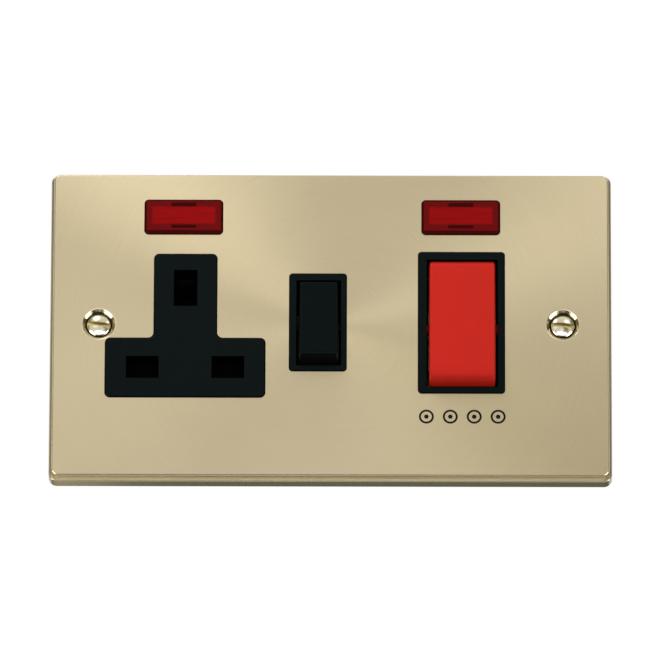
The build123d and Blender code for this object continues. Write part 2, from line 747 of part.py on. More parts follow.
# Supply terminals: cable blocks at the bottom with the see-saw fulcrums
for name, x in (("supply_line_terminal", line_x), ("supply_neutral_terminal", neutral_x)):
    with BuildPart() as supply_terminal:
        slab(*cable_block(x, -1, block_inner_z))
        chamfer(supply_terminal.edges().filter_by(Axis.Y), block_edge)
        bore_block(x, -1, block_inner_z)
        with BuildSketch(Plane.YZ.offset(x)):
            add(fulcrum_profile(cooker_fulcrum_y, -block_inner_z - block_edge))
        extrude(amount=blade_width / 2, both=True)
        if x == neutral_x:
            slab(around(x, lug_width), (live_web_y, neutral_bar_y),
                 (-block_inner_z - block_edge, neutral_bar_z + bar_height / 2))
    finish(supply_terminal, name)


# Load terminals: cable blocks at the top with the fixed contacts
cooker_rivet_y, cooker_rivet_z = closed_rivet(cooker_fulcrum_y, cooker_rocker_tilt)
for name, x in (("load_line_terminal", line_x), ("load_neutral_terminal", neutral_x)):
    with BuildPart() as load_terminal:
        slab(*cable_block(x, 1, block_inner_z))
        chamfer(load_terminal.edges().filter_by(Axis.Y), block_edge)
        bore_block(x, 1, block_inner_z)
        slab(around(x, blade_width), (load_strip_y, load_strip_y + strip),
             (cooker_rivet_z - rivet_from_end, block_inner_z + block_edge))
        with BuildSketch(depth_plane(load_strip_y)):
            with Locations((x, cooker_rivet_z)):
                Circle(rivet_radius)
        extrude(amount=load_strip_y - cooker_rivet_y - contact_gap)
    finish(load_terminal, name)


# Socket switch fulcrum, standing on the line bar
with BuildPart() as socket_fulcrum:
    with BuildSketch(Plane.YZ.offset(socket_switch_x)):
        add(fulcrum_profile(socket_fulcrum_y, line_bar_z - bar_height / 2))
    extrude(amount=blade_width / 2, both=True)
finish(socket_fulcrum, "socket_fulcrum")

# Line bar, from the cooker's supply to the socket switch
with BuildPart() as line_busbar:
    slab((socket_switch_x - blade_width / 2, line_x + blade_width / 2), (line_bar_y, rear_inner_y),
         around(line_bar_z, bar_height))
    fillet(line_busbar.edges().filter_by(Axis.Y), strip / 2)
finish(line_busbar, "line_busbar")

# Neutral bar, from the cooker's supply to the socket
with BuildPart() as neutral_busbar:
    slab((neutral_pin_x - clip_width / 2, neutral_x + lug_width / 2), (neutral_bar_y, neutral_bar_y + strip),
         around(neutral_bar_z, bar_height))
    fillet(neutral_busbar.edges().filter_by(Axis.Y), strip / 2)
finish(neutral_busbar, "neutral_busbar")


def live_clip_profile():
    """Side view of a live pin's clip: two leaves from a web, flared at the mouth."""
    inner = live_pin_height / 2 + clip_play
    outer = inner + clip_thickness
    mouth_y = pad_back_y + clip_front_gap
    flare = clip_thickness
    with BuildSketch() as profile:
        for side in (-1, 1):
            with BuildLine():
                Polyline((mouth_y, side * (inner + flare)), (mouth_y + flare, side * inner),
                         (live_web_y, side * inner), (live_web_y, side * outer),
                         (mouth_y + flare, side * outer), (mouth_y, side * (outer + flare)), close=True)
            make_face()
        with Locations((live_web_y + strip / 2, 0)):
            Rectangle(strip, 2 * outer)
    return profile.sketch


# Socket line contact: pin clip and the socket switch's fixed contact in one strip
socket_rivet_y, socket_rivet_z = closed_rivet(socket_fulcrum_y, socket_rocker_tilt)
run_limits_x = (line_pin_x - clip_width / 2, riser_x + riser_width / 2)
arm_limits_x = (riser_x - riser_width / 2, socket_switch_x + rivet_radius)
line_run_z = around(pin_row_z, bar_height)
line_arm_z = around(socket_rivet_z, bar_height)
with BuildPart() as socket_line_contact:
    with BuildSketch(Plane((line_pin_x, 0, pin_row_z), x_dir=(0, 1, 0), z_dir=(1, 0, 0))):
        add(live_clip_profile())
    extrude(amount=clip_width / 2, both=True)
    slab(run_limits_x, (live_web_y, neutral_bar_y), line_run_z)
    slab(around(riser_x, riser_width), (live_web_y, neutral_bar_y), (line_run_z[0], line_arm_z[1]))
    slab(arm_limits_x, (live_web_y, neutral_bar_y), line_arm_z)
    with BuildSketch(depth_plane(live_web_y)):
        with Locations((socket_switch_x, socket_rivet_z)):
            Circle(rivet_radius)
    extrude(amount=live_web_y - socket_rivet_y - contact_gap)
finish(socket_line_contact, "socket_line_contact")

# Socket neutral contact: pin clip with a tail on the neutral bar
tail_bottom = neutral_bar_z - bar_height / 2
with BuildPart() as socket_neutral_contact:
    with BuildSketch(Plane((neutral_pin_x, 0, pin_row_z), x_dir=(0, 1, 0), z_dir=(1, 0, 0))):
        add(live_clip_profile())
    extrude(amount=clip_width / 2, both=True)
    slab(around(neutral_pin_x, clip_width), (live_web_y, neutral_bar_y), (tail_bottom, pin_row_z))
finish(socket_neutral_contact, "socket_neutral_contact")

# Earth contact: two leaves for the earth pin on a strip that runs to the earth block
earth_inner = earth_pin_width / 2 + clip_play
earth_outer = earth_inner + clip_thickness
earth_mouth_y = ramp_back_y + shutter_ramp_back
with BuildPart() as earth_contact:
    for side in (-1, 1):
        with BuildSketch(Plane.XY.offset(earth_z)):
            with BuildLine():
                Polyline((socket_x + side * (earth_inner + clip_thickness), earth_mouth_y),
                         (socket_x + side * earth_inner, earth_mouth_y + clip_thickness),
                         (socket_x + side * earth_inner, earth_web_y),
                         (socket_x + side * earth_outer, earth_web_y),
                         (socket_x + side * earth_outer, earth_mouth_y + clip_thickness),
                         (socket_x + side * (earth_outer + clip_thickness), earth_mouth_y), close=True)
            make_face()
        extrude(amount=clip_width / 2, both=True)
    slab(around(socket_x, 2 * earth_outer), (earth_web_y, earth_web_y + strip), around(earth_z, clip_width))
    slab((socket_x, earth_x + earth_bar_width / 2), (earth_web_y, earth_web_y + strip),
         around(earth_bar_z, bar_height))
    slab(around(earth_x, earth_bar_width), (earth_web_y, earth_web_y + strip),
         (earth_bar_z - bar_height / 2, earth_inner_z))
finish(earth_contact, "earth_contact")

# Earth terminal block, its mouth at the top
with BuildPart() as earth_terminal:
    slab(*cable_block(earth_x, 1, earth_inner_z))
    chamfer(earth_terminal.edges().filter_by(Axis.Y), block_edge)
    bore_block(earth_x, 1, earth_inner_z)
finish(earth_terminal, "earth_terminal")

# Strap that bonds the plate to the earth block
with BuildPart() as plate_earth_strap:
    slab(around(earth_x, strap_width), (sheet_back_y, block_front_y), (strap_z, strap_z + strap_thickness))
    slab(around(earth_x, strap_width), (sheet_back_y, sheet_back_y + strap_thickness),
         (strap_z, strap_z + strap_foot))
    slab(around(earth_x, strap_width), (block_front_y - strap_thickness, block_front_y),
         (earth_inner_z + block_edge, strap_z + strap_thickness))
finish(plate_earth_strap, "plate_earth_strap")

# Pinch screws, backed off clear of the cable bores
pinch_tip_y = cable_bore_y + cable_bore_radius + pinch_tip_gap
pinch_places = [(line_x, -block_inner_z - pinch_offset), (neutral_x, -block_inner_z - pinch_offset),
                (line_x, block_inner_z + pinch_offset), (neutral_x, block_inner_z + pinch_offset),
                (earth_x, earth_inner_z + pinch_offset)]
with BuildPart() as terminal_screws:
    with BuildSketch(depth_plane(pinch_tip_y)):
        with Locations(*pinch_places):
            Circle(pinch_screw_radius)
    extrude(amount=pinch_tip_y - rear_inner_y)
    with BuildSketch(depth_plane(rear_inner_y)):
        with Locations(*pinch_places):
            Circle(pinch_head_radius)
    extrude(amount=-pinch_head_height)
    with Locations(*[(x, rear_inner_y + pinch_head_height, z) for x, z in pinch_places]):
        Box(2 * (pinch_head_radius + cut_over), 2 * pinch_slot_depth, pinch_slot_width, mode=Mode.SUBTRACT)
finish(terminal_screws, "terminal_screws")


# Neon indicators: lens, lamp and resistor for each
lens_front_y = face_y - lens_proud
lamp_y = cradle_y - cradle_gap - lamp_radius
resistor_y = well_back_y - well_wall - resistor_radius - cradle_gap
for name, x in (("socket", socket_lens_x), ("cooker", cooker_lens_x)):
    with BuildPart() as neon_lens:
        with BuildSketch(depth_plane(lens_rim_y)):
            with Locations((x, lens_z)):
                RectangleRounded(lens_width + 2 * lens_rim, lens_height + 2 * lens_rim, lens_corner_radius)
        extrude(amount=lens_rim)
        with BuildSketch(depth_plane(sheet_back_y)):
            with Locations((x, lens_z)):
                RectangleRounded(lens_width, lens_height, lens_corner_radius)
        extrude(amount=sheet_back_y - lens_front_y)
        fillet(neon_lens.faces().sort_by(Axis.Y)[0].edges(), lens_edge_radius)
        slab(around(x, well_width), (lens_front_y + lens_front, lens_rim_y), around(lens_z, well_height),
             Mode.SUBTRACT)
        for side in (-1, 1):
            clip_z = lens_z + side * (well_height - lens_clip_thickness) / 2
            slab(around(x, lens_clip_width), (lens_front_y + lens_front, lens_rim_y),
                 around(clip_z, lens_clip_thickness))
    finish(neon_lens, f"{name}_neon_lens")

    lamp_base, lamp_end = around(x, lamp_length)
    with BuildPart() as neon_lamp:
        with BuildSketch(Plane((0, lamp_y, lens_z))):
            with BuildLine():
                Polyline((lamp_base, 0), (lamp_base, lamp_radius - lamp_base_chamfer),
                         (lamp_base + lamp_base_chamfer, lamp_radius), (lamp_end - lamp_radius, lamp_radius))
                TangentArc((lamp_end - lamp_radius, lamp_radius), (lamp_end, lamp_tip_radius), tangent=(1, 0))
                Polyline((lamp_end, lamp_tip_radius), (lamp_end, 0), (lamp_base, 0))
            make_face()
        revolve(axis=Axis((0, lamp_y, lens_z), (1, 0, 0)))
        for side in (-1, 1):
            with BuildSketch(Plane((lamp_base, lamp_y, lens_z + side * lamp_radius / 2), z_dir=(-1, 0, 0))):
                Circle(lead_radius)
            extrude(amount=(well_width - lamp_length) / 2 - cradle_gap)
    finish(neon_lamp, f"{name}_neon_lamp")

    with BuildPart() as neon_resistor:
        with Locations((x, resistor_y, lens_z)):
            Cylinder(resistor_radius, resistor_length, rotation=(0, 90, 0))
            fillet(neon_resistor.edges(), resistor_edge)
            Cylinder(lead_radius, 2 * (cradle_offset - cradle_thickness / 2 - cradle_gap),
                     rotation=(0, 90, 0))
    finish(neon_resistor, f"{name}_neon_resistor")


# Rear housing: a base moulding with a pocket for each piece, terminal bays and driver holes
bay_top = block_outer_z + bay_reach
earth_bay_top = earth_inner_z + block_length + bay_reach
busbar_limits_x = (socket_switch_x - blade_width / 2 - seat_clearance, cooker_x - bay_half_width)
switch_pocket_half = blade_width / 2 + blade_side_room
switch_pocket_height = socket_surround_height
spare_limits_x = (socket_switch_x + socket_surround_width / 2 + housing_wall,
                  cooker_x - cooker_surround_width / 2 - housing_wall)
spare_limits_z = (case_screw_bottom_z + boss_radius + housing_wall,
                  case_screw_top_z - boss_radius - housing_wall)
with BuildPart() as rear_housing:
    with BuildSketch(depth_plane(housing_rear)):
        with Locations(((housing_left + housing_right) / 2, (housing_bottom + housing_top) / 2)):
            RectangleRounded(housing_right - housing_left, housing_top - housing_bottom,
                             housing_corner_radius)
    extrude(amount=housing_rear - flange_back_y)
    slab(around(cooker_x, 2 * (bay_half_width + housing_wall)), (bay_front, housing_rear),
         (-bay_top, bay_top))
    slab(around(earth_x, block_width + 2 * (seat_clearance + housing_wall)), (bay_front, housing_rear),
         (earth_inner_z, earth_bay_top))
    fillet(rear_housing.faces().sort_by(Axis.Y)[-1].outer_wire().edges(), housing_edge_radius)
    slab((pad_limits_x[0] - seat_clearance, pad_limits_x[1] + seat_clearance), (flange_back_y, pad_back_y),
         (pad_limits_z[0] - seat_clearance, pad_limits_z[1] + seat_clearance), Mode.SUBTRACT)
    for x, pivot_y, surround_w, surround_h in [switch[:4] for switch in switches]:
        slab(around(x + surround_shift_x, surround_w + 2 * seat_clearance),
             (flange_back_y, pivot_y + bearing_reach + seat_clearance),
             around(surround_z, surround_h + 2 * seat_clearance), Mode.SUBTRACT)
    slab(around(socket_switch_x, 2 * switch_pocket_half), (flange_back_y, rear_inner_y),
         around(switch_z, switch_pocket_height), Mode.SUBTRACT)
    slab(around(cooker_x, 2 * bay_half_width), (flange_back_y, rear_inner_y),
         around(switch_z, cooker_surround_height), Mode.SUBTRACT)
    slab(around(cooker_x, 2 * bay_half_width), (bay_front, rear_inner_y), (-bay_top, bay_top), Mode.SUBTRACT)
    slab(around(cooker_x, bay_divider), (block_front_y, rear_inner_y), (-bay_top, bay_top))
    slab(around(earth_x, block_width + 2 * seat_clearance), (flange_back_y, rear_inner_y),
         (earth_inner_z - seat_clearance, earth_bay_top), Mode.SUBTRACT)
    slab(spare_limits_x, (flange_back_y, rear_inner_y), spare_limits_z, Mode.SUBTRACT)
    slab(busbar_limits_x, (flange_back_y, rear_inner_y), around(line_bar_z, bar_height + 2 * seat_clearance),
         Mode.SUBTRACT)
    slab((neutral_pin_x - clip_width / 2 - seat_clearance, neutral_x),
         (flange_back_y, neutral_bar_y + strip), around(neutral_bar_z, bar_height + 2 * seat_clearance),
         Mode.SUBTRACT)
    clip_pocket_half = live_pin_height / 2 + clip_play + 2 * clip_thickness + seat_clearance
    for x in (neutral_pin_x, line_pin_x):
        slab(around(x, clip_width + 2 * seat_clearance), (flange_back_y, neutral_bar_y),
             around(pin_row_z, 2 * clip_pocket_half), Mode.SUBTRACT)
    slab(around(neutral_pin_x, clip_width + 2 * seat_clearance), (flange_back_y, neutral_bar_y),
         (neutral_bar_z, pin_row_z), Mode.SUBTRACT)
    slab((run_limits_x[0], run_limits_x[1] + seat_clearance), (flange_back_y, neutral_bar_y),
         (line_run_z[0] - seat_clearance, line_run_z[1] + seat_clearance), Mode.SUBTRACT)
    slab(around(riser_x, riser_width + 2 * seat_clearance), (flange_back_y, neutral_bar_y),
         (line_run_z[0], line_arm_z[1] + seat_clearance), Mode.SUBTRACT)
    slab((arm_limits_x[0], socket_switch_x), (flange_back_y, neutral_bar_y),
         (line_arm_z[0] - seat_clearance, line_arm_z[1] + seat_clearance), Mode.SUBTRACT)
    earth_pocket_half = earth_outer + clip_thickness + seat_clearance
    slab(around(socket_x, 2 * earth_pocket_half), (flange_back_y, earth_web_y + strip),
         (ramp_bottom - shutter_travel - shutter_wall - seat_clearance, stem_top + seat_clearance),
         Mode.SUBTRACT)
    slab((socket_x, earth_x + earth_bar_width / 2 + seat_clearance), (flange_back_y, earth_web_y + strip),
         around(earth_bar_z, bar_height + 2 * seat_clearance), Mode.SUBTRACT)
    slab(around(earth_x, earth_bar_width + 2 * seat_clearance), (flange_back_y, earth_web_y + strip),
         (earth_bar_z, earth_inner_z), Mode.SUBTRACT)
    boss_middle_y = (flange_back_y + boss_back_y + seat_clearance) / 2
    with Locations(*[(x, boss_middle_y, z) for x, z in case_screw_places]):
        Cylinder(boss_radius + seat_clearance, boss_length + seat_clearance, rotation=(90, 0, 0),
                 mode=Mode.SUBTRACT)
    with BuildSketch(depth_plane(housing_rear)):
        with Locations(*case_screw_places):
            Circle(case_screw_radius + 2 * case_screw_clearance)
    extrude(amount=housing_rear - flange_back_y, mode=Mode.SUBTRACT)
    with BuildSketch(depth_plane(housing_rear)):
        with Locations(*case_screw_places):
            Circle(case_screw_head_radius + seat_clearance)
    extrude(amount=case_screw_head_height, mode=Mode.SUBTRACT)
    with BuildSketch(depth_plane(housing_rear)):
        with Locations(*pinch_places):
            Circle(pinch_head_radius + driver_hole_clearance)
    extrude(amount=housing_wall, mode=Mode.SUBTRACT)
finish(rear_housing, "rear_housing")

# Screws that hold the housing to the moulding
head_seat_y = housing_rear - case_screw_head_height
with BuildPart() as housing_screws:
    with BuildSketch(depth_plane(housing_rear)):
        with Locations(*case_screw_places):
            Circle(case_screw_head_radius)
    extrude(amount=case_screw_head_height)
    with BuildSketch(depth_plane(head_seat_y)):
        with Locations(*case_screw_places):
            Circle(case_screw_radius)
    extrude(amount=head_seat_y - flange_back_y)
    with Locations(*[(x, housing_rear, z) for x, z in case_screw_places]):
        Box(case_screw_cross, case_screw_head_height, case_screw_slot, mode=Mode.SUBTRACT)
        Box(case_screw_slot, case_screw_head_height, case_screw_cross, mode=Mode.SUBTRACT)
finish(housing_screws, "housing_screws")

# Push-on clips that hold the plate's studs behind the flange
with BuildPart() as plate_clips:
    with BuildSketch(depth_plane(flange_back_y)):
        with Locations(*stud_places):
            Circle(clip_radius)
            Circle(stud_radius + window_clearance / 2, mode=Mode.SUBTRACT)
            with PolarLocations(stud_radius + clip_tooth_reach / 2, clip_teeth):
                Rectangle(clip_tooth_reach, clip_tooth_width, mode=Mode.SUBTRACT)
    extrude(amount=-plate_clip_thickness)
finish(plate_clips, "plate_clips")
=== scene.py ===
"""Finishes, threaded screws, print and stage for a two-gang cooker control unit.

All lengths are in metres, in the unit's own frame: X to the right seen from the front, Y into the
wall and Z up.
"""
import json
import math
from collections import namedtuple

import bmesh
import bpy
from bpy.props import FloatProperty, FloatVectorProperty, IntProperty, PointerProperty
from mathutils import Matrix, Vector


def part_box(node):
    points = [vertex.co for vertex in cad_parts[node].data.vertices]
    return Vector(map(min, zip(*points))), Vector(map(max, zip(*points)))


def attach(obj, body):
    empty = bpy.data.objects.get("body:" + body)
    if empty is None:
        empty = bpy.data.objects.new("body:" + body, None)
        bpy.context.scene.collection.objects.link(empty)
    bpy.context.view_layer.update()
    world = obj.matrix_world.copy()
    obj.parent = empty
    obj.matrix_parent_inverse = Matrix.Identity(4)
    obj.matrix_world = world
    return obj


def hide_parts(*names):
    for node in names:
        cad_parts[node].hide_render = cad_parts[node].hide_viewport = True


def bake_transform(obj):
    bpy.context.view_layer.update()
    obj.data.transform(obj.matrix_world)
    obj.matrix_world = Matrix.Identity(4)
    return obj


bl_info = {
    "name": "Cooker Control Unit",
    "version": (1, 0, 0),
    "blender": (4, 5, 0),
    "location": "View3D > Sidebar > Cooker Unit",
    "description": "Finishes, threaded screws, print and stage for a two-gang cooker control unit",
    "category": "Object",
}

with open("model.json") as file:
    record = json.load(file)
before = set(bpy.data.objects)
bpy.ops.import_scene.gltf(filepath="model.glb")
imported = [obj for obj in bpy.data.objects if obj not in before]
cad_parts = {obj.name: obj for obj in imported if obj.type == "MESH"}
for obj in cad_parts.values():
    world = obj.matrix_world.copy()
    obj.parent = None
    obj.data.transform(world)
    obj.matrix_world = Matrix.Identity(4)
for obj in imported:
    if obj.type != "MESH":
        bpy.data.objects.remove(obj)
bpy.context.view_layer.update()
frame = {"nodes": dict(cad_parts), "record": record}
record = frame["record"]
mounts = {mount["name"]: mount for mount in record["mounts"]}
fixing = mounts["fixing_screws"]["dims"]

MM = 0.001
WHITE = (1.0, 1.0, 1.0, 1.0)
SCREW_SPACING = fixing["spacing_x_mm"] * MM
QUARTER_TURN = 0.25

# Plastic skin: share of the broad grain's fineness, share of the fine grain, and how far both go
BROAD_GRAIN = 0.03
FINE_SHARE = 0.7
PLASTIC_TONE = 0.15
PLASTIC_SHEEN = 0.06
PLASTIC_RELIEF = 0.02 * MM

# Metal: stretch of its lines along X, and how far they change its colour and roughness
LINE_STRETCH = 0.04
METAL_DARK = 0.82
METAL_LIGHT = 1.12
METAL_POLISH = 0.05
METAL_WEAR = 0.08
METAL_RELIEF = 0.01 * MM

# How far a surface faces the front, where an edge ends, where a face starts and the painted shade inside the
# housing
STEEP_EDGE = 0.6
FLAT_FACE = 0.97
INNER_LIMIT = -0.5
INNER_SHADE = 0.05

# Bands along a resistor: how closely they follow each other, and how narrow they are
RESISTOR_WAVES = 44.0
RESISTOR_LIMIT = 0.55

# Rows of points on a screw's dome, in each turn, and where its thread rises and fades
HEAD_ROWS = 8
TURN_ROWS = 8
START_ROWS = 8
END_ROWS = 10

# Each coil spring, with the slide of the piece that it pushes
SPRINGS = {
    "shutter_spring": "shutter_slide",
    "socket_plunger_spring": "socket_plunger_slide",
    "cooker_line_plunger_spring": "cooker_line_plunger_slide",
    "cooker_neutral_plunger_spring": "cooker_neutral_plunger_slide",
}

# Each lamp lights the brushing along one streak, given in degrees round the plate
Lamp = namedtuple("Lamp", "name streak lean size share")
LAMPS = (
    Lamp("key_lamp", streak=134.0, lean=0.55, size=0.1, share=1.0),
    Lamp("right_lamp", streak=24.0, lean=0.55, size=0.08, share=0.32),
    Lamp("front_lamp", streak=294.0, lean=0.5, size=0.08, share=0.13),
    Lamp("left_lamp", streak=196.0, lean=0.5, size=0.12, share=0.18),
    Lamp("top_lamp", streak=85.0, lean=0.6, size=0.25, share=0.3),
)

# Cards that only the shiny edges, dimples and screws show
Card = namedtuple("Card", "name place width height colour strength")
CARD_WHITE = (1.0, 1.0, 1.0)
CARD_GREEN = (0.85, 1.0, 0.8)
CARDS = (
    Card("card_behind", (0.25, 0.55, -0.27), 0.74, 0.4, CARD_GREEN, 0.18),
    Card("card_corner", (-0.3, 0.5, -0.2), 0.5, 0.4, (1.0, 1.0, 0.8), 0.4),
    Card("card_below", (0.0, -0.3, -0.38), 0.5, 0.25, CARD_GREEN, 0.1),
    Card("card_camera", (0.0, -0.55, -0.23), 0.6, 0.22, (0.95, 1.0, 1.25), 3.0),
    Card("card_lower_right", (0.12, -0.275, 0.0), 0.16, 0.16, (1.0, 0.9, 0.6), 0.4),
    Card("card_right", (0.42, -0.15, 0.18), 0.25, 0.5, CARD_GREEN, 0.12),
    Card("card_left", (-0.42, -0.15, 0.18), 0.25, 0.5, CARD_GREEN, 0.2),
    Card("glint_right", (0.42, -0.13, -0.23), 0.6, 0.32, CARD_WHITE, 6.0),
    Card("glint_left", (-0.42, -0.13, -0.23), 0.6, 0.32, CARD_WHITE, 6.0),
)


def colour_property(name, description, default):
    """Colour that a user can change."""
    return FloatVectorProperty(name=name, description=description, default=default, size=3,
                               subtype="COLOR", min=0.0, max=1.0)


def length_property(name, description, default):
    """Length in metres that is never negative."""
    return FloatProperty(name=name, description=description, default=default, min=0.0,
                         subtype="DISTANCE", unit="LENGTH", precision=5)


def place_property(name, description, default):
    """Place in metres on either side of a middle."""
    return FloatProperty(name=name, description=description, default=default,
                         subtype="DISTANCE", unit="LENGTH", precision=5)


def angle_property(name, description, degrees):
    """Angle, with its default given in degrees."""
    return FloatProperty(name=name, description=description, default=math.radians(degrees),
                         subtype="ANGLE", unit="ROTATION")


def share_property(name, description, default):
    """Share between 0 and 1."""
    return FloatProperty(name=name, description=description, default=default, min=0.0, max=1.0,
                         subtype="FACTOR")


def number_property(name, description, default):
    """Plain number that is never negative."""
    return FloatProperty(name=name, description=description, default=default, min=0.0)


def camera_property(name, description, default):
    """Length inside the camera, in millimetres."""
    return FloatProperty(name=name, description=description, default=default, min=1.0, max=5000.0,
                         subtype="DISTANCE_CAMERA", unit="CAMERA")


def group_property(name, group):
    """Group of settings, described in the group's own words."""
    return PointerProperty(name=name, description=group.__doc__.rstrip("."), type=group)


class FinishSettings(bpy.types.PropertyGroup):
    """Colours of the unit's materials."""

    satin_brass: colour_property("Satin brass", "Plate's brushed face", (0.555, 0.468, 0.298))
    # Painted shade: the dimple shade colour is the dark ring round each screw head, in place of the shadow in
    # the seam between head and dimple.
    dimple_shade: colour_property("Dimple shade", "Dull ring round each screw head", (0.06, 0.052, 0.02))
    bright_brass: colour_property("Bright brass", "Screws", (0.6, 0.55, 0.41))
    # Painted shade: the slot colour is a darker gold laid over each fixing screw's slot and its lips, in
    # place of the shade in the slot.
    slot_shade: colour_property("Slot brass", "Worn slots of the fixing screws", (0.4, 0.31, 0.12))
    contact_brass: colour_property("Contact brass", "Strips, clips and cable blocks", (0.66, 0.48, 0.21))
    spring_steel: colour_property("Spring steel", "Coil springs", (0.5, 0.5, 0.5))
    plated_steel: colour_property("Plated steel", "Housing screws and clips", (0.62, 0.61, 0.58))
    black_moulding: colour_property("Black moulding", "Socket face and surrounds", (0.0017, 0.0051, 0.0051))
    black_rocker: colour_property("Black rocker", "Socket switch", (0.0009, 0.004, 0.0036))
    red_rocker: colour_property("Red rocker", "Cooker switch", (0.585, 0.0155, 0.0065))
    shutter: colour_property("Shutter", "Shutter behind the pin slots", (0.0012, 0.0012, 0.0012))
    plunger: colour_property("Plunger", "Plungers in the rockers", (0.72, 0.72, 0.68))
    housing: colour_property("Housing", "Rear housing", (0.015, 0.015, 0.016))
    ink: colour_property("Ink", "Printed rings", (0.006, 0.006, 0.006))
    lens_bright: colour_property("Lens middle", "Panel of the neon lens", (0.31, 0.004, 0.004))
    lens_dark: colour_property("Lens border", "Thick wall round the panel", (0.15, 0.004, 0.004))
    lens_edge: colour_property("Lens edge", "Outer edge and the clips behind the lens", (0.045, 0.001, 0.001))
    lamp_glass: colour_property("Lamp glass", "Bulbs of the neon lamps", (0.95, 0.9, 0.85))
    resistor_dark: colour_property("Resistor dark", "Darker lacquer of the resistors", (0.5, 0.36, 0.2))
    resistor_light: colour_property("Resistor light", "Lighter lacquer of the resistors", (0.6, 0.45, 0.27))
    resistor_band: colour_property("Resistor band", "Bands round the resistors", (0.12, 0.03, 0.01))


class PlateSettings(bpy.types.PropertyGroup):
    """Brushing, edges and screw dimples of the brass plate."""

    ring_lines: number_property("Ring lines", "Brushed lines for each metre from the middle", 7000.0)
    ring_breaks: number_property("Ring breaks", "How often the lines change round the plate", 4.0)
    cloud_scale: number_property("Cloud scale", "Soft patches for each metre", 40.0)
    cloud_share: share_property("Cloud share", "Tone that comes from the patches", 0.35)
    contrast: share_property("Contrast", "How far the tone goes to either side", 0.14)
    smoothest: share_property("Smoothest", "Least roughness of the lines", 0.34)
    roughest: share_property("Roughest", "Most roughness of the lines", 0.46)
    relief: share_property("Relief", "Strength of the lines' relief", 0.06)
    streak: share_property("Streak", "How far the brushing draws out a reflection", 0.72)
    edge_polish: share_property("Edge polish", "Roughness left on rounded edges", 0.4)
    lower_shade: share_property("Lower shade", "Colour left on edges that face down", 0.6)
    # Painted shade: the ring below is the dark ring round each screw head, in place of the seam's shadow.
    ring_radius: length_property("Ring radius", "Radius of the dull ring round each screw", 3.6 * MM)
    ring_soft: length_property("Ring softness", "Half the width of the dull ring's edge", 0.08 * MM)
    dimple_inside: length_property("Dimple inside", "Radius up to which a dimple is polished", 4.3 * MM)
    dimple_outside: length_property("Dimple outside", "Radius from which the plate is brushed", 4.7 * MM)
    dimple_polish: share_property("Dimple polish", "Roughness left in the dimples", 0.35)
    rim_width: length_property("Rim width", "Width of the ledge at the plate's two ends", 0.7 * MM)
    rim_soft: length_property("Rim softness", "Half the width over which the rim starts", 0.1 * MM)
    rim_lean: share_property("Rim lean", "How far the rim's surface leans outward", 0.7)


class LensSettings(bpy.types.PropertyGroup):
    """Panel, clips and wall seen in the neon lenses, measured from a lens's middle."""

    panel_side: length_property("Panel side", "Half the panel's width", 8.2 * MM)
    panel_top: place_property("Panel top", "Panel's upper edge", 2.85 * MM)
    panel_bottom: place_property("Panel bottom", "Panel's lower edge", -1.9 * MM)
    panel_soft: length_property("Panel softness", "Half the width of the panel's edge", 0.3 * MM)
    clip_side: length_property("Clip side", "Half the width of the clips", 3.25 * MM)
    upper_clip_top: place_property("Upper clip top", "Upper clip's upper edge", 4.05 * MM)
    upper_clip_bottom: place_property("Upper clip bottom", "Upper clip's lower edge", 2.95 * MM)
    lower_clip_top: place_property("Lower clip top", "Lower clip's upper edge", -2.2 * MM)
    lower_clip_bottom: place_property("Lower clip bottom", "Lower clip's lower edge", -3.15 * MM)
    wall_side: length_property("Wall side", "Half the width inside the outer edge", 9.65 * MM)
    wall_top: place_property("Wall top", "Upper end inside the outer edge", 4.45 * MM)
    wall_bottom: place_property("Wall bottom", "Lower end inside the outer edge", -3.75 * MM)
    line_soft: length_property("Line softness", "Half the width of the clips' and wall's edges", 0.12 * MM)
    rib_breaks: number_property("Rib breaks", "Changes along the ribs for each metre", 120.0)
    rib_count: number_property("Ribs", "Ribs for each metre of height", 2200.0)


class ScrewSettings(bpy.types.PropertyGroup):
    """Form of the threaded fixing screws."""

    head_rise: length_property("Head rise", "Height of the head's dome above its rim", 0.85 * MM)
    head_rim: length_property("Head rim", "Height of the straight rim under the dome", 0.35 * MM)
    neck: length_property("Neck", "Plain length between the head and the thread", 1.2 * MM)
    pitch: length_property("Pitch", "Thread's rise for each turn", 0.6 * MM)
    depth: length_property("Thread depth", "Height of the thread above its root", 0.33 * MM)
    slot_width: length_property("Slot width", "Width of the driver's slot", 0.9 * MM)
    slot_depth: length_property("Slot depth", "Depth of the driver's slot", 0.85 * MM)
    slot_angle: angle_property("Slot angle", "Turn of the slot seen from the front", -5.0)
    # Painted shade: these three settings place the darker gold band over each slot.
    shade_rise: share_property("Wear rise", "Rise of the worn band as a share of the slot's width", 0.2)
    shade_side: share_property("Wear side", "Half the worn band as a share of the slot's width", 0.62)
    shade_reach: length_property("Wear reach", "Length of the worn band from the head's middle", 3.2 * MM)
    edge_round: length_property("Edge round", "Width of the head's rounded edges", 0.06 * MM)
    edge_angle: angle_property("Edge angle", "Least angle of an edge that is rounded", 50.0)
    smooth_angle: angle_property("Smooth angle", "Least angle of an edge that looks sharp", 35.0)
    segments: IntProperty(name="Segments", description="Faces round each screw", default=40, min=12)


class PrintSettings(bpy.types.PropertyGroup):
    """Row of hob rings printed under the cooker switch."""

    count: IntProperty(name="Rings", description="Number of hob rings", default=4, min=1)
    radius: length_property("Ring radius", "Outer radius of each ring", 1.95 * MM)
    line: length_property("Line width", "Width of each printed line", 0.55 * MM)
    dot: length_property("Dot radius", "Radius of the dot in each ring", 0.6 * MM)
    pitch: length_property("Pitch", "Distance between rings", 6.2 * MM)
    height: place_property("Height", "Height of the row's middle above the origin", -25.8 * MM)
    thickness: length_property("Ink thickness", "Thickness of the print", 0.02 * MM)
    segments: IntProperty(name="Segments", description="Faces round each ring", default=48, min=12)


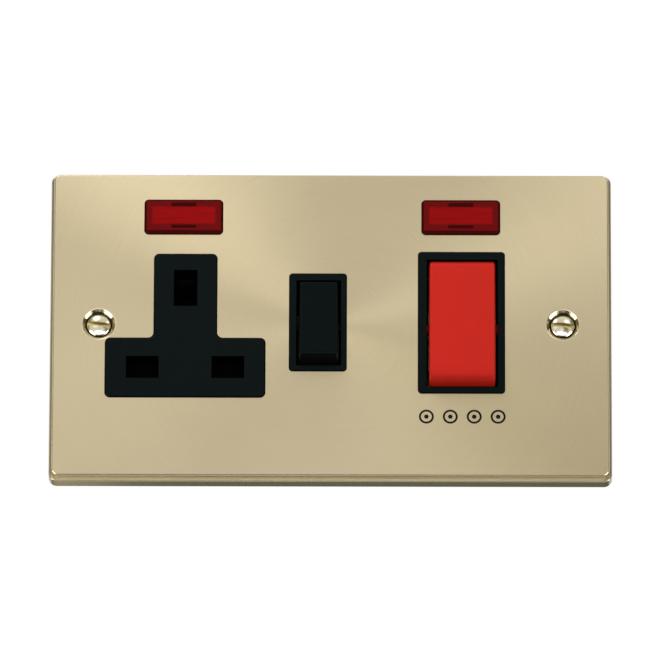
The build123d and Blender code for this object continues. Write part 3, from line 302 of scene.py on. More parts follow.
class StageSettings(bpy.types.PropertyGroup):
    """Camera, lamps and floor."""

    tilt: angle_property("Camera tilt", "How far the camera stands below the plate's normal", 22.42)
    yaw: angle_property("Camera yaw", "How far the camera stands to the right", 0.17)
    roll: angle_property("Camera roll", "Turn of the picture", -0.19)
    distance: length_property("Camera distance", "From the camera to the plate", 3.6244)
    lens: camera_property("Lens", "Focal length in millimetres", 753.8)
    sensor: camera_property("Sensor", "Sensor width in millimetres", 36.0)
    sight: length_property("Sight", "Farthest that the camera sees", 20.0)
    aim: FloatVectorProperty(name="Aim", description="Point in the middle of the picture", size=3,
                             default=(0.43 * MM, 0.0, 0.62 * MM), subtype="TRANSLATION", unit="LENGTH")
    ambient: number_property("Ambient", "Strength of the light from all round", 0.85)
    lamp_distance: length_property("Lamp distance", "From each lamp to the plate", 0.24)
    lamp_power: FloatProperty(name="Lamp power", description="Power of the key lamp", default=0.012,
                              min=0.0, unit="POWER")
    lamp_spread: angle_property("Lamp spread", "Full angle of each lamp's beam", 54.0)
    lamp_reach: length_property("Lamp reach", "From the plate's middle to where each beam falls", 0.03)
    floor_gap: length_property("Floor gap", "From the plate's lower edge to the floor", 0.5 * MM)
    floor_radius: length_property("Floor radius", "Radius of the round floor", 3.0)
    floor_dark: colour_property("Floor dark", "Darker tone of the floor", (0.84, 0.84, 0.84))
    floor_light: colour_property("Floor light", "Lighter tone of the floor", (0.88, 0.88, 0.88))


class UnitSettings(bpy.types.PropertyGroup):
    """All settings of the unit."""

    finish: group_property("Finish", FinishSettings)
    plate: group_property("Plate", PlateSettings)
    lens: group_property("Lens", LensSettings)
    screws: group_property("Screws", ScrewSettings)
    mark: group_property("Print", PrintSettings)
    stage: group_property("Stage", StageSettings)


class Graph:
    """Adds nodes to a node tree, with each input given as a value or as another node's output."""

    def __init__(self, tree):
        self.tree = tree

    def feed(self, socket, value):
        """Set or link one input."""
        if isinstance(value, bpy.types.NodeSocket):
            self.tree.links.new(value, socket)
        else:
            socket.default_value = value

    def add(self, kind, inputs=None, **settings):
        """New node with its settings and inputs."""
        node = self.tree.nodes.new(kind)
        for name, value in settings.items():
            setattr(node, name, value)
        for name, value in (inputs or {}).items():
            self.feed(node.inputs[name], value)
        return node

    def coordinate(self, kind):
        """Place or direction on the surface."""
        return self.add("ShaderNodeTexCoord").outputs[kind]

    def split(self, vector):
        """X, Y and Z of a vector."""
        return self.add("ShaderNodeSeparateXYZ", {"Vector": vector}).outputs

    def join(self, **axes):
        """Vector from some of its X, Y and Z."""
        return self.add("ShaderNodeCombineXYZ", axes).outputs["Vector"]

    def math(self, operation, first, second=0.0, third=0.0):
        """Result of a sum on values."""
        node = self.add("ShaderNodeMath", {0: first, 1: second, 2: third}, operation=operation)
        return node.outputs[0]

    def vector(self, operation, first, second=(0.0, 0.0, 0.0)):
        """Result of a sum on vectors."""
        node = self.add("ShaderNodeVectorMath", {0: first, 1: second}, operation=operation)
        return node.outputs["Vector"]

    def length(self, vector):
        """Length of a vector."""
        return self.add("ShaderNodeVectorMath", {0: vector}, operation="LENGTH").outputs["Value"]

    def spread(self, value, low, high, from_low=0.0, from_high=1.0):
        """Value moved from one range to another."""
        node = self.add("ShaderNodeMapRange", {"Value": value, "From Min": from_low, "From Max": from_high,
                                               "To Min": low, "To Max": high})
        return node.outputs["Result"]

    def band(self, value, low, high, soft):
        """1 between two limits and 0 outside them, with soft sides."""
        rise = self.spread(value, 0.0, 1.0, low - soft, low + soft)
        return self.math("MULTIPLY", rise, self.below(value, high, soft))

    def below(self, value, limit, soft):
        """1 below a limit and 0 above it, with a soft side."""
        return self.spread(value, 1.0, 0.0, limit - soft, limit + soft)

    def blend(self, share, first, second):
        """Colour between two colours."""
        node = self.add("ShaderNodeMix", data_type="RGBA")
        self.feed(node.inputs["Factor"], share)
        self.feed(node.inputs[6], first)
        self.feed(node.inputs[7], second)
        return node.outputs[2]

    def noise(self, place, scale, detail):
        """Soft noise at a place."""
        node = self.add("ShaderNodeTexNoise", {"Vector": place, "Scale": scale, "Detail": detail})
        return node.outputs["Fac"]

    def bump(self, height, strength, distance):
        """Surface direction from a height."""
        node = self.add("ShaderNodeBump", {"Height": height, "Strength": strength, "Distance": distance})
        return node.outputs["Normal"]

    def group(self, name, inputs):
        """Output of a shared node group, which is built when it is first used."""
        tree = bpy.data.node_groups.get(name) or GROUPS[name](name)
        return self.add("ShaderNodeGroup", inputs, node_tree=tree).outputs[0]


def opaque(colour, share=1.0):
    """Colour with its alpha, darkened or lightened by a share."""
    return (colour[0] * share, colour[1] * share, colour[2] * share, 1.0)


def new_group(name, value, default, output):
    """Shader node group with one value that goes in and one that comes out."""
    tree = bpy.data.node_groups.new(name, "ShaderNodeTree")
    socket = tree.interface.new_socket(value, in_out="INPUT", socket_type="NodeSocketFloat")
    socket.default_value = default
    tree.interface.new_socket(output, in_out="OUTPUT", socket_type="NodeSocketFloat")
    graph = Graph(tree)
    given = graph.add("NodeGroupInput").outputs[value]
    result = graph.add("NodeGroupOutput").inputs[output]
    return tree, graph, given, result


def moulded_grain(name):
    """Fine uneven skin of moulded plastic."""
    tree, graph, fineness, grain = new_group(name, "Fineness", 6000.0, "Grain")
    place = graph.coordinate("Object")
    fine = graph.noise(place, fineness, detail=3.0)
    broad = graph.noise(place, graph.math("MULTIPLY", fineness, BROAD_GRAIN), detail=1.0)
    rest = graph.math("MULTIPLY", broad, 1.0 - FINE_SHARE)
    graph.feed(grain, graph.math("MULTIPLY_ADD", fine, FINE_SHARE, rest))
    return tree


def drawn_lines(name):
    """Lines left along X by rolling or drawing."""
    tree, graph, fineness, lines = new_group(name, "Fineness", 4000.0, "Lines")
    stretched = graph.vector("MULTIPLY", graph.coordinate("Object"), (LINE_STRETCH, 1.0, 1.0))
    graph.feed(lines, graph.noise(stretched, fineness, detail=2.0))
    return tree


def front_facing(name):
    """1 on surfaces that face the front or back, down to the side's share on rounded edges and sides."""
    tree, graph, side, share = new_group(name, "Side", 0.0, "Share")
    depth = graph.math("ABSOLUTE", graph.split(graph.coordinate("Normal"))["Y"])
    graph.feed(share, graph.spread(depth, side, 1.0, from_low=STEEP_EDGE, from_high=FLAT_FACE))
    return tree


def screw_distance(name):
    """Distance from the nearer fixing screw, seen from the front."""
    tree, graph, spacing, distance = new_group(name, "Spacing", SCREW_SPACING, "Distance")
    place = graph.split(graph.coordinate("Object"))
    across = graph.math("SUBTRACT", graph.math("ABSOLUTE", place["X"]), graph.math("DIVIDE", spacing, 2.0))
    graph.feed(distance, graph.length(graph.join(X=across, Z=place["Z"])))
    return tree


GROUPS = {
    "moulded_grain": moulded_grain,
    "drawn_lines": drawn_lines,
    "front_facing": front_facing,
    "screw_distance": screw_distance,
}


def new_material(name):
    """Material with a plain Principled shader."""
    material = bpy.data.materials.new(name)
    material.use_nodes = True
    return material, Graph(material.node_tree), material.node_tree.nodes["Principled BSDF"].inputs


def bare_material(name):
    """Material without any shader."""
    material = bpy.data.materials.new(name)
    material.use_nodes = True
    material.node_tree.nodes.clear()
    return material, Graph(material.node_tree)


def overlay(material, mask, colour):
    """Lay a colour over a material where a mask is 1."""
    graph = Graph(material.node_tree)
    base = material.node_tree.nodes["Principled BSDF"].inputs["Base Color"]
    graph.feed(base, graph.blend(mask(graph), base.links[0].from_socket, opaque(colour)))
    return material


def plastic(name, colour, roughness, fineness=6000.0, relief=0.15, specular=0.12, edge=1.0):
    """Moulded plastic with a fine uneven skin, with painted shade on edges and sides if edge is below 1."""
    material, graph, shader = new_material(name)
    grain = graph.group("moulded_grain", {"Fineness": fineness})
    skin = graph.blend(grain, opaque(colour, 1.0 - PLASTIC_TONE), opaque(colour, 1.0 + PLASTIC_TONE))
    # Painted shade: edges and sides keep only the edge share of the colour.
    if edge < 1.0:
        skin = graph.blend(graph.group("front_facing", {"Side": 0.0}), opaque(colour, edge), skin)
    graph.feed(shader["Base Color"], skin)
    graph.feed(shader["Roughness"], graph.spread(grain, roughness - PLASTIC_SHEEN, roughness + PLASTIC_SHEEN))
    graph.feed(shader["Normal"], graph.bump(grain, relief, PLASTIC_RELIEF))
    graph.feed(shader["Specular IOR Level"], specular)
    return material


def metal(name, colour, roughness, fineness=4000.0, relief=0.1):
    """Metal with the lines of rolling or drawing."""
    material, graph, shader = new_material(name)
    lines = graph.group("drawn_lines", {"Fineness": fineness})
    tone = graph.blend(lines, opaque(colour, METAL_DARK), opaque(colour, METAL_LIGHT))
    graph.feed(shader["Base Color"], tone)
    graph.feed(shader["Roughness"], graph.spread(lines, roughness - METAL_POLISH, roughness + METAL_WEAR))
    graph.feed(shader["Normal"], graph.bump(lines, relief, METAL_RELIEF))
    graph.feed(shader["Metallic"], 1.0)
    return material


def brushed_lines(graph, place, plate):
    """Fine lines brushed in circles about the plate's middle."""
    flat = graph.vector("MULTIPLY", place, (1.0, 0.0, 1.0))
    breaks = (plate.ring_breaks, 0.0, plate.ring_breaks)
    arc = graph.vector("MULTIPLY", graph.vector("NORMALIZE", flat), breaks)
    rings = graph.join(Y=graph.math("MULTIPLY", graph.length(flat), plate.ring_lines))
    return graph.noise(graph.vector("ADD", arc, rings), 1.0, detail=3.0)


def lower_edges(graph):
    """1 on rounded edges that face partly down."""
    height = graph.split(graph.coordinate("Normal"))["Z"]
    return graph.band(height, low=-0.9, high=-0.2, soft=0.1)


def rolled_rim(graph, place, normal, plate):
    """Surface direction that leans outward on the ledge at the plate's two ends."""
    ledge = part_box("front_plate")[1].x - plate.rim_width
    across = graph.split(place)["X"]
    share = graph.spread(graph.math("ABSOLUTE", across), 0.0, plate.rim_lean,
                         from_low=ledge - plate.rim_soft, from_high=ledge + plate.rim_soft)
    lean = graph.join(X=graph.math("MULTIPLY", graph.math("SIGN", across), share))
    outward = graph.add("ShaderNodeVectorTransform", {"Vector": lean}, vector_type="VECTOR",
                        convert_from="OBJECT", convert_to="WORLD").outputs["Vector"]
    return graph.vector("NORMALIZE", graph.vector("ADD", normal, outward))


def satin_brass(finish, plate):
    """Lacquered brass sheet, brushed in circles about the plate's middle and polished at its edges."""
    material, graph, shader = new_material("satin_brass")
    place = graph.coordinate("Object")
    lines = brushed_lines(graph, place, plate)
    away = graph.group("screw_distance", {"Spacing": SCREW_SPACING})
    dimple = {"from_low": plate.dimple_inside, "from_high": plate.dimple_outside}

    clouds = graph.noise(place, plate.cloud_scale, detail=2.0)
    tone = graph.math("MULTIPLY_ADD", clouds, plate.cloud_share,
                      graph.math("MULTIPLY", lines, 1.0 - plate.cloud_share))
    brushed = graph.blend(tone, opaque(finish.satin_brass, 1.0 - plate.contrast),
                          opaque(finish.satin_brass, 1.0 + plate.contrast))
    lower = graph.math("MULTIPLY", lower_edges(graph), graph.spread(away, 0.0, 1.0, **dimple))
    shaded = graph.blend(lower, brushed, opaque(finish.satin_brass, plate.lower_shade))
    # Painted shade: a dark ring round each screw head stands in for the shadow in the seam between head and
    # dimple.
    shadowed = graph.below(away, plate.ring_radius, plate.ring_soft)
    graph.feed(shader["Base Color"], graph.blend(shadowed, shaded, opaque(finish.dimple_shade)))

    pressed = graph.math("MULTIPLY", graph.spread(away, plate.dimple_polish, 1.0, **dimple),
                         graph.group("front_facing", {"Side": plate.edge_polish}))
    sheen = graph.spread(lines, plate.smoothest, plate.roughest)
    graph.feed(shader["Roughness"], graph.math("MULTIPLY", pressed, sheen))
    relief = graph.bump(lines, plate.relief, METAL_RELIEF)
    graph.feed(shader["Normal"], rolled_rim(graph, place, relief, plate))
    tangent = graph.add("ShaderNodeTangent", direction_type="RADIAL", axis="Y").outputs["Tangent"]
    graph.feed(shader["Tangent"], tangent)
    graph.feed(shader["Metallic"], 1.0)
    graph.feed(shader["Anisotropic"], plate.streak)
    graph.feed(shader["Anisotropic Rotation"], QUARTER_TURN)
    return material


def screw_brass(finish, screws):
    """Bright drawn brass with painted shade, a darker gold, over the slot of each fixing screw."""
    # Painted shade: the mask covers each slot and its lips, where the slot's shade falls.
    def shaded_slot(graph):
        place = graph.split(graph.coordinate("Object"))
        side = graph.math("MULTIPLY", graph.math("SIGN", place["X"]), SCREW_SPACING / 2)
        lean = graph.math("MULTIPLY", graph.math("SUBTRACT", place["X"], side), math.tan(screws.slot_angle))
        height = graph.math("SUBTRACT", place["Z"], lean)
        above = graph.math("SUBTRACT", height, screws.slot_width * screws.shade_rise)
        slot = graph.math("LESS_THAN", graph.math("ABSOLUTE", above), screws.slot_width * screws.shade_side)
        away = graph.group("screw_distance", {"Spacing": SCREW_SPACING})
        return graph.math("MULTIPLY", slot, graph.math("LESS_THAN", away, screws.shade_reach))

    brass = metal("bright_brass", finish.bright_brass, 0.16, fineness=2500.0, relief=0.05)
    return overlay(brass, shaded_slot, finish.slot_shade)


def housing_plastic(finish):
    """Matt black plastic, with painted shade on the inner faces that look to the front."""
    def inner_faces(graph):
        return graph.math("LESS_THAN", graph.split(graph.coordinate("Normal"))["Y"], INNER_LIMIT)

    black = plastic("housing_plastic", finish.housing, 0.5, fineness=3000.0, relief=0.35)
    return overlay(black, inner_faces, opaque(finish.housing, INNER_SHADE))


def red_lens(finish, lens):
    """Red lens with a darker thick border, a ribbed panel and two dark clips behind it."""
    material, graph, shader = new_material("red_lens")
    low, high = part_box("socket_neon_lens")
    centred = graph.vector("SUBTRACT", graph.coordinate("Generated"), (0.5, 0.5, 0.5))
    place = graph.vector("MULTIPLY", centred, tuple(high - low))
    axes = graph.split(place)
    across = graph.math("ABSOLUTE", axes["X"])
    along = axes["Z"]
    panel = graph.math("MULTIPLY", graph.below(across, lens.panel_side, lens.panel_soft),
                       graph.band(along, lens.panel_bottom, lens.panel_top, lens.panel_soft))
    clips = graph.math("ADD",
                       graph.band(along, lens.upper_clip_bottom, lens.upper_clip_top, lens.line_soft),
                       graph.band(along, lens.lower_clip_bottom, lens.lower_clip_top, lens.line_soft))
    notch = graph.math("MULTIPLY", graph.below(across, lens.clip_side, lens.line_soft), clips)
    inside = graph.math("MULTIPLY", graph.below(across, lens.wall_side, lens.line_soft),
                        graph.band(along, lens.wall_bottom, lens.wall_top, lens.line_soft))
    ribbing = graph.vector("MULTIPLY", place, (lens.rib_breaks, 0.0, lens.rib_count))
    ribs = graph.noise(ribbing, 1.0, detail=2.0)
    body = graph.blend(panel, opaque(finish.lens_dark), opaque(finish.lens_bright))
    depth = graph.spread(ribs, 0.0, 0.5, from_low=0.45, from_high=0.75)
    ribbed = graph.blend(depth, body, opaque(finish.lens_dark, 0.7))
    rimmed = graph.blend(inside, opaque(finish.lens_edge), ribbed)
    graph.feed(shader["Base Color"], graph.blend(notch, rimmed, opaque(finish.lens_edge)))
    graph.feed(shader["Roughness"], graph.spread(ribs, 0.12, 0.25))
    graph.feed(shader["Normal"], graph.bump(ribs, 0.1, 0.05 * MM))
    graph.feed(shader["Specular IOR Level"], 0.03)
    return material


def lamp_glass(finish):
    """Clear glass of the neon lamps."""
    material, graph, shader = new_material("lamp_glass")
    grain = graph.group("moulded_grain", {"Fineness": 900.0})
    graph.feed(shader["Roughness"], graph.spread(grain, 0.01, 0.05))
    graph.feed(shader["Base Color"], opaque(finish.lamp_glass))
    graph.feed(shader["Transmission Weight"], 1.0)
    graph.feed(shader["IOR"], 1.5)
    return material


def banded_resistor(finish):
    """Lacquered resistor with plain colour bands."""
    material, graph, shader = new_material("resistor_body")
    waves = graph.math("MULTIPLY", graph.split(graph.coordinate("Generated"))["X"], RESISTOR_WAVES)
    bands = graph.math("GREATER_THAN", graph.math("SINE", waves), RESISTOR_LIMIT)
    grain = graph.group("moulded_grain", {"Fineness": 3000.0})
    body = graph.blend(grain, opaque(finish.resistor_dark), opaque(finish.resistor_light))
    graph.feed(shader["Base Color"], graph.blend(bands, body, opaque(finish.resistor_band)))
    graph.feed(shader["Roughness"], graph.spread(grain, 0.25, 0.4))
    return material


def finish_nodes(slots):
    """Give each CAD node in a material slot its finish."""
    for part in record["subparts"]:
        if part["material_slot"] in slots:
            node = frame["nodes"][part["node"]]
            for holder in node.material_slots:
                holder.material = slots[part["material_slot"]]


def mesh_from(shape, name):
    """Mesh from a bmesh, which is then freed."""
    mesh = bpy.data.meshes.new(name)
    shape.to_mesh(mesh)
    shape.free()
    return mesh


def new_object(name, data):
    """Object for a mesh, lamp or camera, in the scene."""
    holder = bpy.data.objects.new(name, data)
    bpy.context.scene.collection.objects.link(holder)
    return holder


def new_piece(name, mesh, body, material):
    """Object for a mesh that rides on a body."""
    piece = new_object(name, mesh)
    mesh.materials.append(material)
    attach(piece, body)
    return piece


def circle(shape, centre, radius, depth, segments):
    """Ring of points that stands out to the front of a centre."""
    turns = (2 * math.pi * step / segments for step in range(segments))
    return [shape.verts.new(centre + Vector((radius * math.cos(turn), -depth, radius * math.sin(turn))))
            for turn in turns]


def skin_loops(shape, first, second):
    """Faces between two rings of points."""
    for step in range(len(first)):
        after = (step + 1) % len(first)
        shape.faces.new((first[step], first[after], second[after], second[step]))


def flat_ring(shape, centre, outer, inner, thickness, segments):
    """Closed flat ring that stands out to the front."""
    front = circle(shape, centre, outer, thickness, segments)
    back = circle(shape, centre, outer, 0.0, segments)
    hole_front = circle(shape, centre, inner, thickness, segments)
    hole_back = circle(shape, centre, inner, 0.0, segments)
    for first, second in ((front, back), (hole_front, front), (hole_back, hole_front), (back, hole_back)):
        skin_loops(shape, first, second)


def flat_disc(shape, centre, radius, thickness, segments):
    """Closed flat disc that stands out to the front."""
    front = circle(shape, centre, radius, thickness, segments)
    back = circle(shape, centre, radius, 0.0, segments)
    shape.faces.new(front)
    shape.faces.new(back)
    skin_loops(shape, front, back)


ScrewLevels = namedtuple("ScrewLevels", "top rim edge neck thread tip")


def thread_height(turn, along, pitch):
    """Height of a thread, from 0 at its root to 1 at its crest."""
    share = (along / pitch - turn / (2 * math.pi)) % 1.0
    return max(0.0, min(1.0, 1.5 - abs(share - 0.5) * 4.0))


def screw_rows(settings, head_radius, root, levels):
    """Radius, thread height and level of each row of a screw's points, from the dome to the tip."""
    rise = levels.rim - levels.top
    sphere = (head_radius ** 2 + rise ** 2) / (2 * rise)
    rows = []
    for step in range(1, HEAD_ROWS + 1):
        radius = head_radius * step / HEAD_ROWS
        rows.append((radius, 0.0, levels.top + sphere - math.sqrt(sphere ** 2 - radius ** 2)))
    rows += [(head_radius, 0.0, levels.edge), (root, 0.0, levels.neck), (root, 0.0, levels.thread)]
    length = levels.tip - levels.thread
    count = int(length / settings.pitch * TURN_ROWS)
    for step in range(1, count + 1):
        fade = min(1.0, step / START_ROWS, (count - step) / END_ROWS)
        rows.append((root, settings.depth * fade, levels.thread + length * step / count))
    return rows


def screw_mesh(settings, head_radius, thread_radius, levels):
    """Raised countersunk screw along Y with a real thread."""
    shape = bmesh.new()
    loops = []
    for radius, ridge, along in screw_rows(settings, head_radius, thread_radius - settings.depth, levels):
        loop = []
        for step in range(settings.segments):
            turn = 2 * math.pi * step / settings.segments
            reach = radius + ridge * thread_height(turn, along, settings.pitch)
            loop.append(shape.verts.new((reach * math.cos(turn), along, reach * math.sin(turn))))
        loops.append(loop)
    for first, second in zip(loops, loops[1:]):
        skin_loops(shape, first, second)
    crown = shape.verts.new((0.0, levels.top, 0.0))
    for step in range(settings.segments):
        shape.faces.new((crown, loops[0][(step + 1) % settings.segments], loops[0][step]))
    shape.faces.new(loops[-1])
    bmesh.ops.recalc_face_normals(shape, faces=shape.faces)
    return mesh_from(shape, "screw")


def cut_slot(mesh, top, settings, head_radius):
    """Mesh of a screw with its driver's slot cut and its edges rounded."""
    shape = bmesh.new()
    bmesh.ops.create_cube(shape, size=1.0)
    turn = Matrix.Rotation(-settings.slot_angle, 4, "Y")
    size = Matrix.Diagonal((3 * head_radius, 2 * settings.slot_depth, settings.slot_width, 1.0))
    bmesh.ops.transform(shape, matrix=Matrix.Translation((0.0, top, 0.0)) @ turn @ size, verts=shape.verts)
    screw = new_object("screw", mesh)
    cutter = new_object("slot_cutter", mesh_from(shape, "slot_cutter"))
    cut = screw.modifiers.new("slot", "BOOLEAN")
    cut.operation = "DIFFERENCE"
    cut.solver = "EXACT"
    cut.object = cutter
    round_edges = screw.modifiers.new("edges", "BEVEL")
    round_edges.width = settings.edge_round
    round_edges.segments = 2
    round_edges.limit_method = "ANGLE"
    round_edges.angle_limit = settings.edge_angle
    made = bpy.data.meshes.new_from_object(screw.evaluated_get(bpy.context.evaluated_depsgraph_get()))
    for holder in (screw, cutter):
        bpy.data.objects.remove(holder)
    return made


class COOKER_OT_mouldings(bpy.types.Operator):
    """Finish the plastic mouldings and rockers"""

    bl_idname = "cooker_unit.mouldings"
    bl_label = "Mouldings"

    def execute(self, context):
        finish = context.scene.cooker_unit.finish
        finish_nodes({
            # Painted shade: each edge value is the share of colour left on the plastic's edges and sides.
            "black_moulding": plastic("black_moulding", finish.black_moulding, 0.42,
                                      fineness=7000.0, relief=0.25, specular=0.05, edge=0.1),
            "black_rocker": plastic("black_rocker", finish.black_rocker, 0.3,
                                    fineness=5000.0, relief=0.1, specular=0.04, edge=0.2),
            "red_rocker": plastic("red_rocker", finish.red_rocker, 0.32,
                                  fineness=5000.0, relief=0.08, edge=0.72),
            "shutter_plastic": plastic("shutter_plastic", finish.shutter, 0.7, specular=0.005),
            "plunger_plastic": plastic("plunger_plastic", finish.plunger, 0.4,
                                       fineness=4000.0, relief=0.1, specular=0.4),
            "housing_plastic": housing_plastic(finish),
        })
        return {"FINISHED"}


class COOKER_OT_metalwork(bpy.types.Operator):
    """Brush the plate and finish the brass and steel pieces"""

    bl_idname = "cooker_unit.metalwork"
    bl_label = "Metalwork"

    def execute(self, context):
        unit = context.scene.cooker_unit
        finish = unit.finish
        finish_nodes({
            "satin_brass": satin_brass(finish, unit.plate),
            "bright_brass": screw_brass(finish, unit.screws),
            "contact_brass": metal("contact_brass", finish.contact_brass, 0.45),
            "spring_steel": metal("spring_steel", finish.spring_steel, 0.25, fineness=6000.0),
            "plated_steel": metal("plated_steel", finish.plated_steel, 0.3),
        })
        return {"FINISHED"}


class COOKER_OT_neon_indicators(bpy.types.Operator):
    """Finish the neon lenses, lamps and resistors"""

    bl_idname = "cooker_unit.neon_indicators"
    bl_label = "Neon Indicators"

    def execute(self, context):
        unit = context.scene.cooker_unit
        finish_nodes({
            "red_lens": red_lens(unit.finish, unit.lens),
            "lamp_glass": lamp_glass(unit.finish),
            "resistor_body": banded_resistor(unit.finish),
        })
        return {"FINISHED"}


class COOKER_OT_springs(bpy.types.Operator):
    """Copy each coil spring into a piece of its own and hide the CAD spring"""

    bl_idname = "cooker_unit.springs"
    bl_label = "Springs"

    def execute(self, context):
        slides = {joint["name"]: joint for joint in record["behaviour"]["joints"]}
        for name, slide in SPRINGS.items():
            joint = slides[slide]
            low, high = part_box(name)
            pushed_low, pushed_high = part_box(joint["child"])
            middle = (low + high) / 2
            axis = Vector(joint["axis"])
            reach = axis * abs(axis.dot(high - low)) / 2
            if axis.dot((pushed_low + pushed_high) / 2 - middle) < 0:
                reach.negate()
            coil = new_object(f"{name}_coil", frame["nodes"][name].data.copy())
            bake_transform(coil)
            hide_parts(name)
        return {"FINISHED"}


class COOKER_OT_fixing_screws(bpy.types.Operator):
    """Make the two slotted screws with real threads"""

    bl_idname = "cooker_unit.fixing_screws"
    bl_label = "Fixing Screws"

    def execute(self, context):
        settings = context.scene.cooker_unit.screws
        low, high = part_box("fixing_screws")
        head_radius = (high.z - low.z) / 2
        thread_radius = fixing["stud_r_mm"] * MM
        rim = low.y + settings.head_rise
        edge = rim + settings.head_rim
        neck = edge + head_radius - thread_radius + settings.depth
        levels = ScrewLevels(low.y, rim, edge, neck, neck + settings.neck, high.y)
        whole = screw_mesh(settings, head_radius, thread_radius, levels)
        slotted = cut_slot(whole, levels.top, settings, head_radius)
        both = bmesh.new()
        for side in (-1, 1):
            single = slotted.copy()
            single.transform(Matrix.Translation((side * SCREW_SPACING / 2, 0.0, 0.0)))
            both.from_mesh(single)
        pair = mesh_from(both, "threaded_fixing_screws")
        pair.materials.clear()
        pair.shade_smooth()
        pair.set_sharp_from_angle(angle=settings.smooth_angle)
        brass = frame["nodes"]["fixing_screws"].material_slots[0].material
        piece = new_piece("threaded_fixing_screws", pair, "unit", brass)
        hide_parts("fixing_screws")
        return {"FINISHED"}


class COOKER_OT_print_mark(bpy.types.Operator):
    """Print a row of hob rings under the cooker switch"""

    bl_idname = "cooker_unit.print_mark"
    bl_label = "Hob Rings"

    def execute(self, context):
        unit = context.scene.cooker_unit
        mark = unit.mark
        rocker_low, rocker_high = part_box("cooker_rocker")
        middle = (rocker_low.x + rocker_high.x) / 2
        plate_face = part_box("front_plate")[0].y
        shape = bmesh.new()
        for index in range(mark.count):
            ring_x = middle + (index - (mark.count - 1) / 2) * mark.pitch
            centre = Vector((ring_x, plate_face, mark.height))
            flat_ring(shape, centre, mark.radius, mark.radius - mark.line, mark.thickness, mark.segments)
            flat_disc(shape, centre, mark.dot, mark.thickness, mark.segments)
        bmesh.ops.recalc_face_normals(shape, faces=shape.faces)
        ink = plastic("black_ink", unit.finish.ink, 0.5, fineness=5000.0, relief=0.1)
        new_piece("hob_rings", mesh_from(shape, "hob_rings"), "unit", ink)
        return {"FINISHED"}


def white_world(ambient):
    """World that is white to the eye, in metal and through glass, and softer as a light."""
    world = bpy.data.worlds.new("studio")
    world.use_nodes = True
    graph = Graph(world.node_tree)
    world.node_tree.nodes.clear()
    path = graph.add("ShaderNodeLightPath").outputs
    seen = graph.math("MAXIMUM", path["Is Camera Ray"],
                      graph.math("MAXIMUM", path["Is Glossy Ray"], path["Is Transmission Ray"]))
    light = graph.add("ShaderNodeBackground", {"Color": WHITE, "Strength": ambient}).outputs[0]
    white = graph.add("ShaderNodeBackground", {"Color": WHITE, "Strength": 1.0}).outputs[0]
    mixed = graph.add("ShaderNodeMixShader", {0: seen, 1: light, 2: white}).outputs[0]
    graph.add("ShaderNodeOutputWorld", {"Surface": mixed})
    return world


def floor_paint(stage):
    """Matt paint that is pale from above and clear from below."""
    material, graph = bare_material("pale_floor")
    grain = graph.group("moulded_grain", {"Fineness": 40.0})
    paint = graph.blend(grain, opaque(stage.floor_dark), opaque(stage.floor_light))
    matt = graph.add("ShaderNodeBsdfDiffuse", {"Color": paint}).outputs[0]
    clear = graph.add("ShaderNodeBsdfTransparent").outputs[0]
    under = graph.add("ShaderNodeNewGeometry").outputs["Backfacing"]
    mixed = graph.add("ShaderNodeMixShader", {0: under, 1: matt, 2: clear}).outputs[0]
    graph.add("ShaderNodeOutputMaterial", {"Surface": mixed})
    return material


def pale_floor(stage):
    """Round floor just below the plate."""
    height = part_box("front_plate")[0].z - stage.floor_gap
    shape = bmesh.new()
    bmesh.ops.create_circle(shape, cap_ends=True, segments=96, radius=stage.floor_radius)
    bmesh.ops.translate(shape, vec=(0.0, 0.0, height), verts=shape.verts)
    floor = new_object("floor", mesh_from(shape, "floor"))
    floor.data.materials.append(floor_paint(stage))
    floor.visible_glossy = False


def reflected_card(card):
    """Card that faces the unit and that only shiny surfaces show."""
    material, graph = bare_material(card.name)
    glow = graph.add("ShaderNodeEmission", {"Color": opaque(card.colour), "Strength": card.strength})
    graph.add("ShaderNodeOutputMaterial", {"Surface": glow.outputs[0]})
    shape = bmesh.new()
    bmesh.ops.create_grid(shape, x_segments=1, y_segments=1, size=0.5)
    bmesh.ops.scale(shape, vec=(card.width, card.height, 1.0), verts=shape.verts)
    holder = new_object(card.name, mesh_from(shape, card.name))
    holder.data.materials.append(material)
    holder.location = card.place
    holder.rotation_euler = Vector(card.place).to_track_quat("Z", "Y").to_euler()
    for ray in ("camera", "diffuse", "transmission", "volume_scatter", "shadow"):
        setattr(holder, f"visible_{ray}", False)


def lamp_direction(tilt, plan):
    """Direction of a lamp that lights the brushing along its streak, seen from the camera."""
    across = plan.lean * math.cos(math.radians(plan.streak))
    upward = math.sin(tilt) + plan.lean * math.sin(math.radians(plan.streak))
    return Vector((across, -math.sqrt(1 - across ** 2 - upward ** 2), upward))


def streak_lamp(plan, stage):
    """Round lamp whose beam falls on its own side of the plate."""
    lamp = bpy.data.lights.new(plan.name, "AREA")
    lamp.shape = "DISK"
    lamp.size = plan.size
    lamp.energy = stage.lamp_power * plan.share
    lamp.spread = stage.lamp_spread
    holder = new_object(plan.name, lamp)
    holder.location = lamp_direction(stage.tilt, plan) * stage.lamp_distance
    turn = math.radians(plan.streak)
    beam = holder.location - Vector((math.cos(turn), 0.0, math.sin(turn))) * stage.lamp_reach
    holder.rotation_euler = beam.to_track_quat("Z", "Y").to_euler()


def long_camera(stage):
    """Camera with a long lens, from below the plate's normal."""
    back = Vector((math.sin(stage.yaw) * math.cos(stage.tilt), -math.cos(stage.yaw) * math.cos(stage.tilt),
                   -math.sin(stage.tilt)))
    right = Vector((math.cos(stage.yaw), math.sin(stage.yaw), 0.0))
    up = back.cross(right)
    side = right * math.cos(stage.roll) - up * math.sin(stage.roll)
    top = right * math.sin(stage.roll) + up * math.cos(stage.roll)
    lens = bpy.data.cameras.new("camera")
    lens.lens = stage.lens
    lens.sensor_width = stage.sensor
    lens.clip_end = stage.sight
    camera = new_object("camera", lens)
    place = Matrix((side, top, back)).transposed().to_4x4()
    place.translation = Vector(stage.aim) + back * stage.distance
    camera.matrix_world = place
    return camera


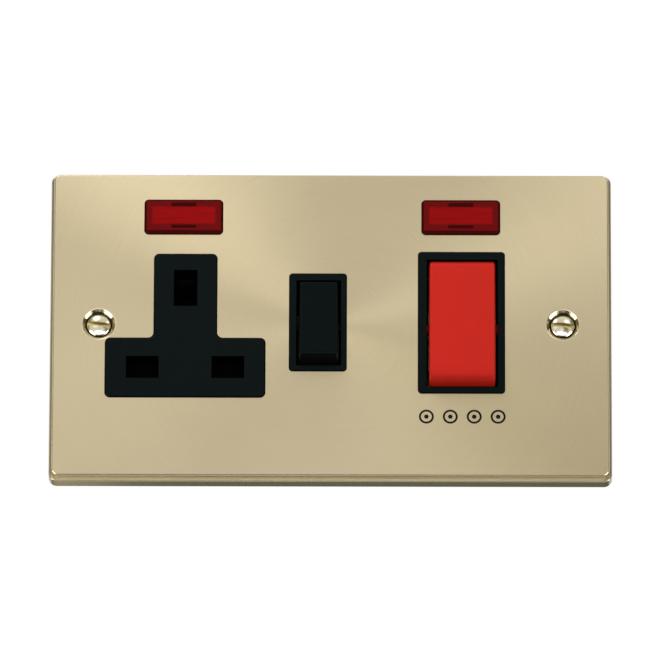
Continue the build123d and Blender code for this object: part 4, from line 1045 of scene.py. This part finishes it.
class COOKER_OT_stage(bpy.types.Operator):
    """Set up the camera, lamps, world and floor"""

    bl_idname = "cooker_unit.stage"
    bl_label = "Stage"

    def execute(self, context):
        scene = context.scene
        stage = scene.cooker_unit.stage
        scene.view_settings.view_transform = "Standard"
        scene.world = white_world(stage.ambient)
        pale_floor(stage)
        for card in CARDS:
            reflected_card(card)
        for plan in LAMPS:
            streak_lamp(plan, stage)
        scene.camera = long_camera(stage)
        return {"FINISHED"}


class COOKER_PT_panel(bpy.types.Panel):
    """Steps and settings of the unit"""

    bl_idname = "COOKER_PT_panel"
    bl_label = "Cooker Unit"
    bl_space_type = "VIEW_3D"
    bl_region_type = "UI"
    bl_category = "Cooker Unit"

    def draw(self, context):
        unit = context.scene.cooker_unit
        for step in STEPS:
            self.layout.operator(step.bl_idname)
        for group in (unit.finish, unit.plate, unit.lens, unit.screws, unit.mark, unit.stage):
            box = self.layout.box()
            for name in group.__annotations__:
                box.prop(group, name)


SETTINGS = (FinishSettings, PlateSettings, LensSettings, ScrewSettings, PrintSettings, StageSettings,
            UnitSettings)
STEPS = (
    COOKER_OT_mouldings,
    COOKER_OT_metalwork,
    COOKER_OT_neon_indicators,
    COOKER_OT_springs,
    COOKER_OT_fixing_screws,
    COOKER_OT_print_mark,
    COOKER_OT_stage,
)
CLASSES = (*SETTINGS, *STEPS, COOKER_PT_panel)


def register():
    for item in CLASSES:
        bpy.utils.register_class(item)
    bpy.types.Scene.cooker_unit = group_property("Cooker unit", UnitSettings)


def unregister():
    del bpy.types.Scene.cooker_unit
    for item in reversed(CLASSES):
        bpy.utils.unregister_class(item)


def main():
    """Register and make every piece in order."""
    register()
    bpy.ops.cooker_unit.mouldings()
    bpy.ops.cooker_unit.metalwork()
    bpy.ops.cooker_unit.neon_indicators()
    bpy.ops.cooker_unit.springs()
    bpy.ops.cooker_unit.fixing_screws()
    bpy.ops.cooker_unit.print_mark()
    bpy.ops.cooker_unit.stage()


if __name__ == "__main__":
    main()
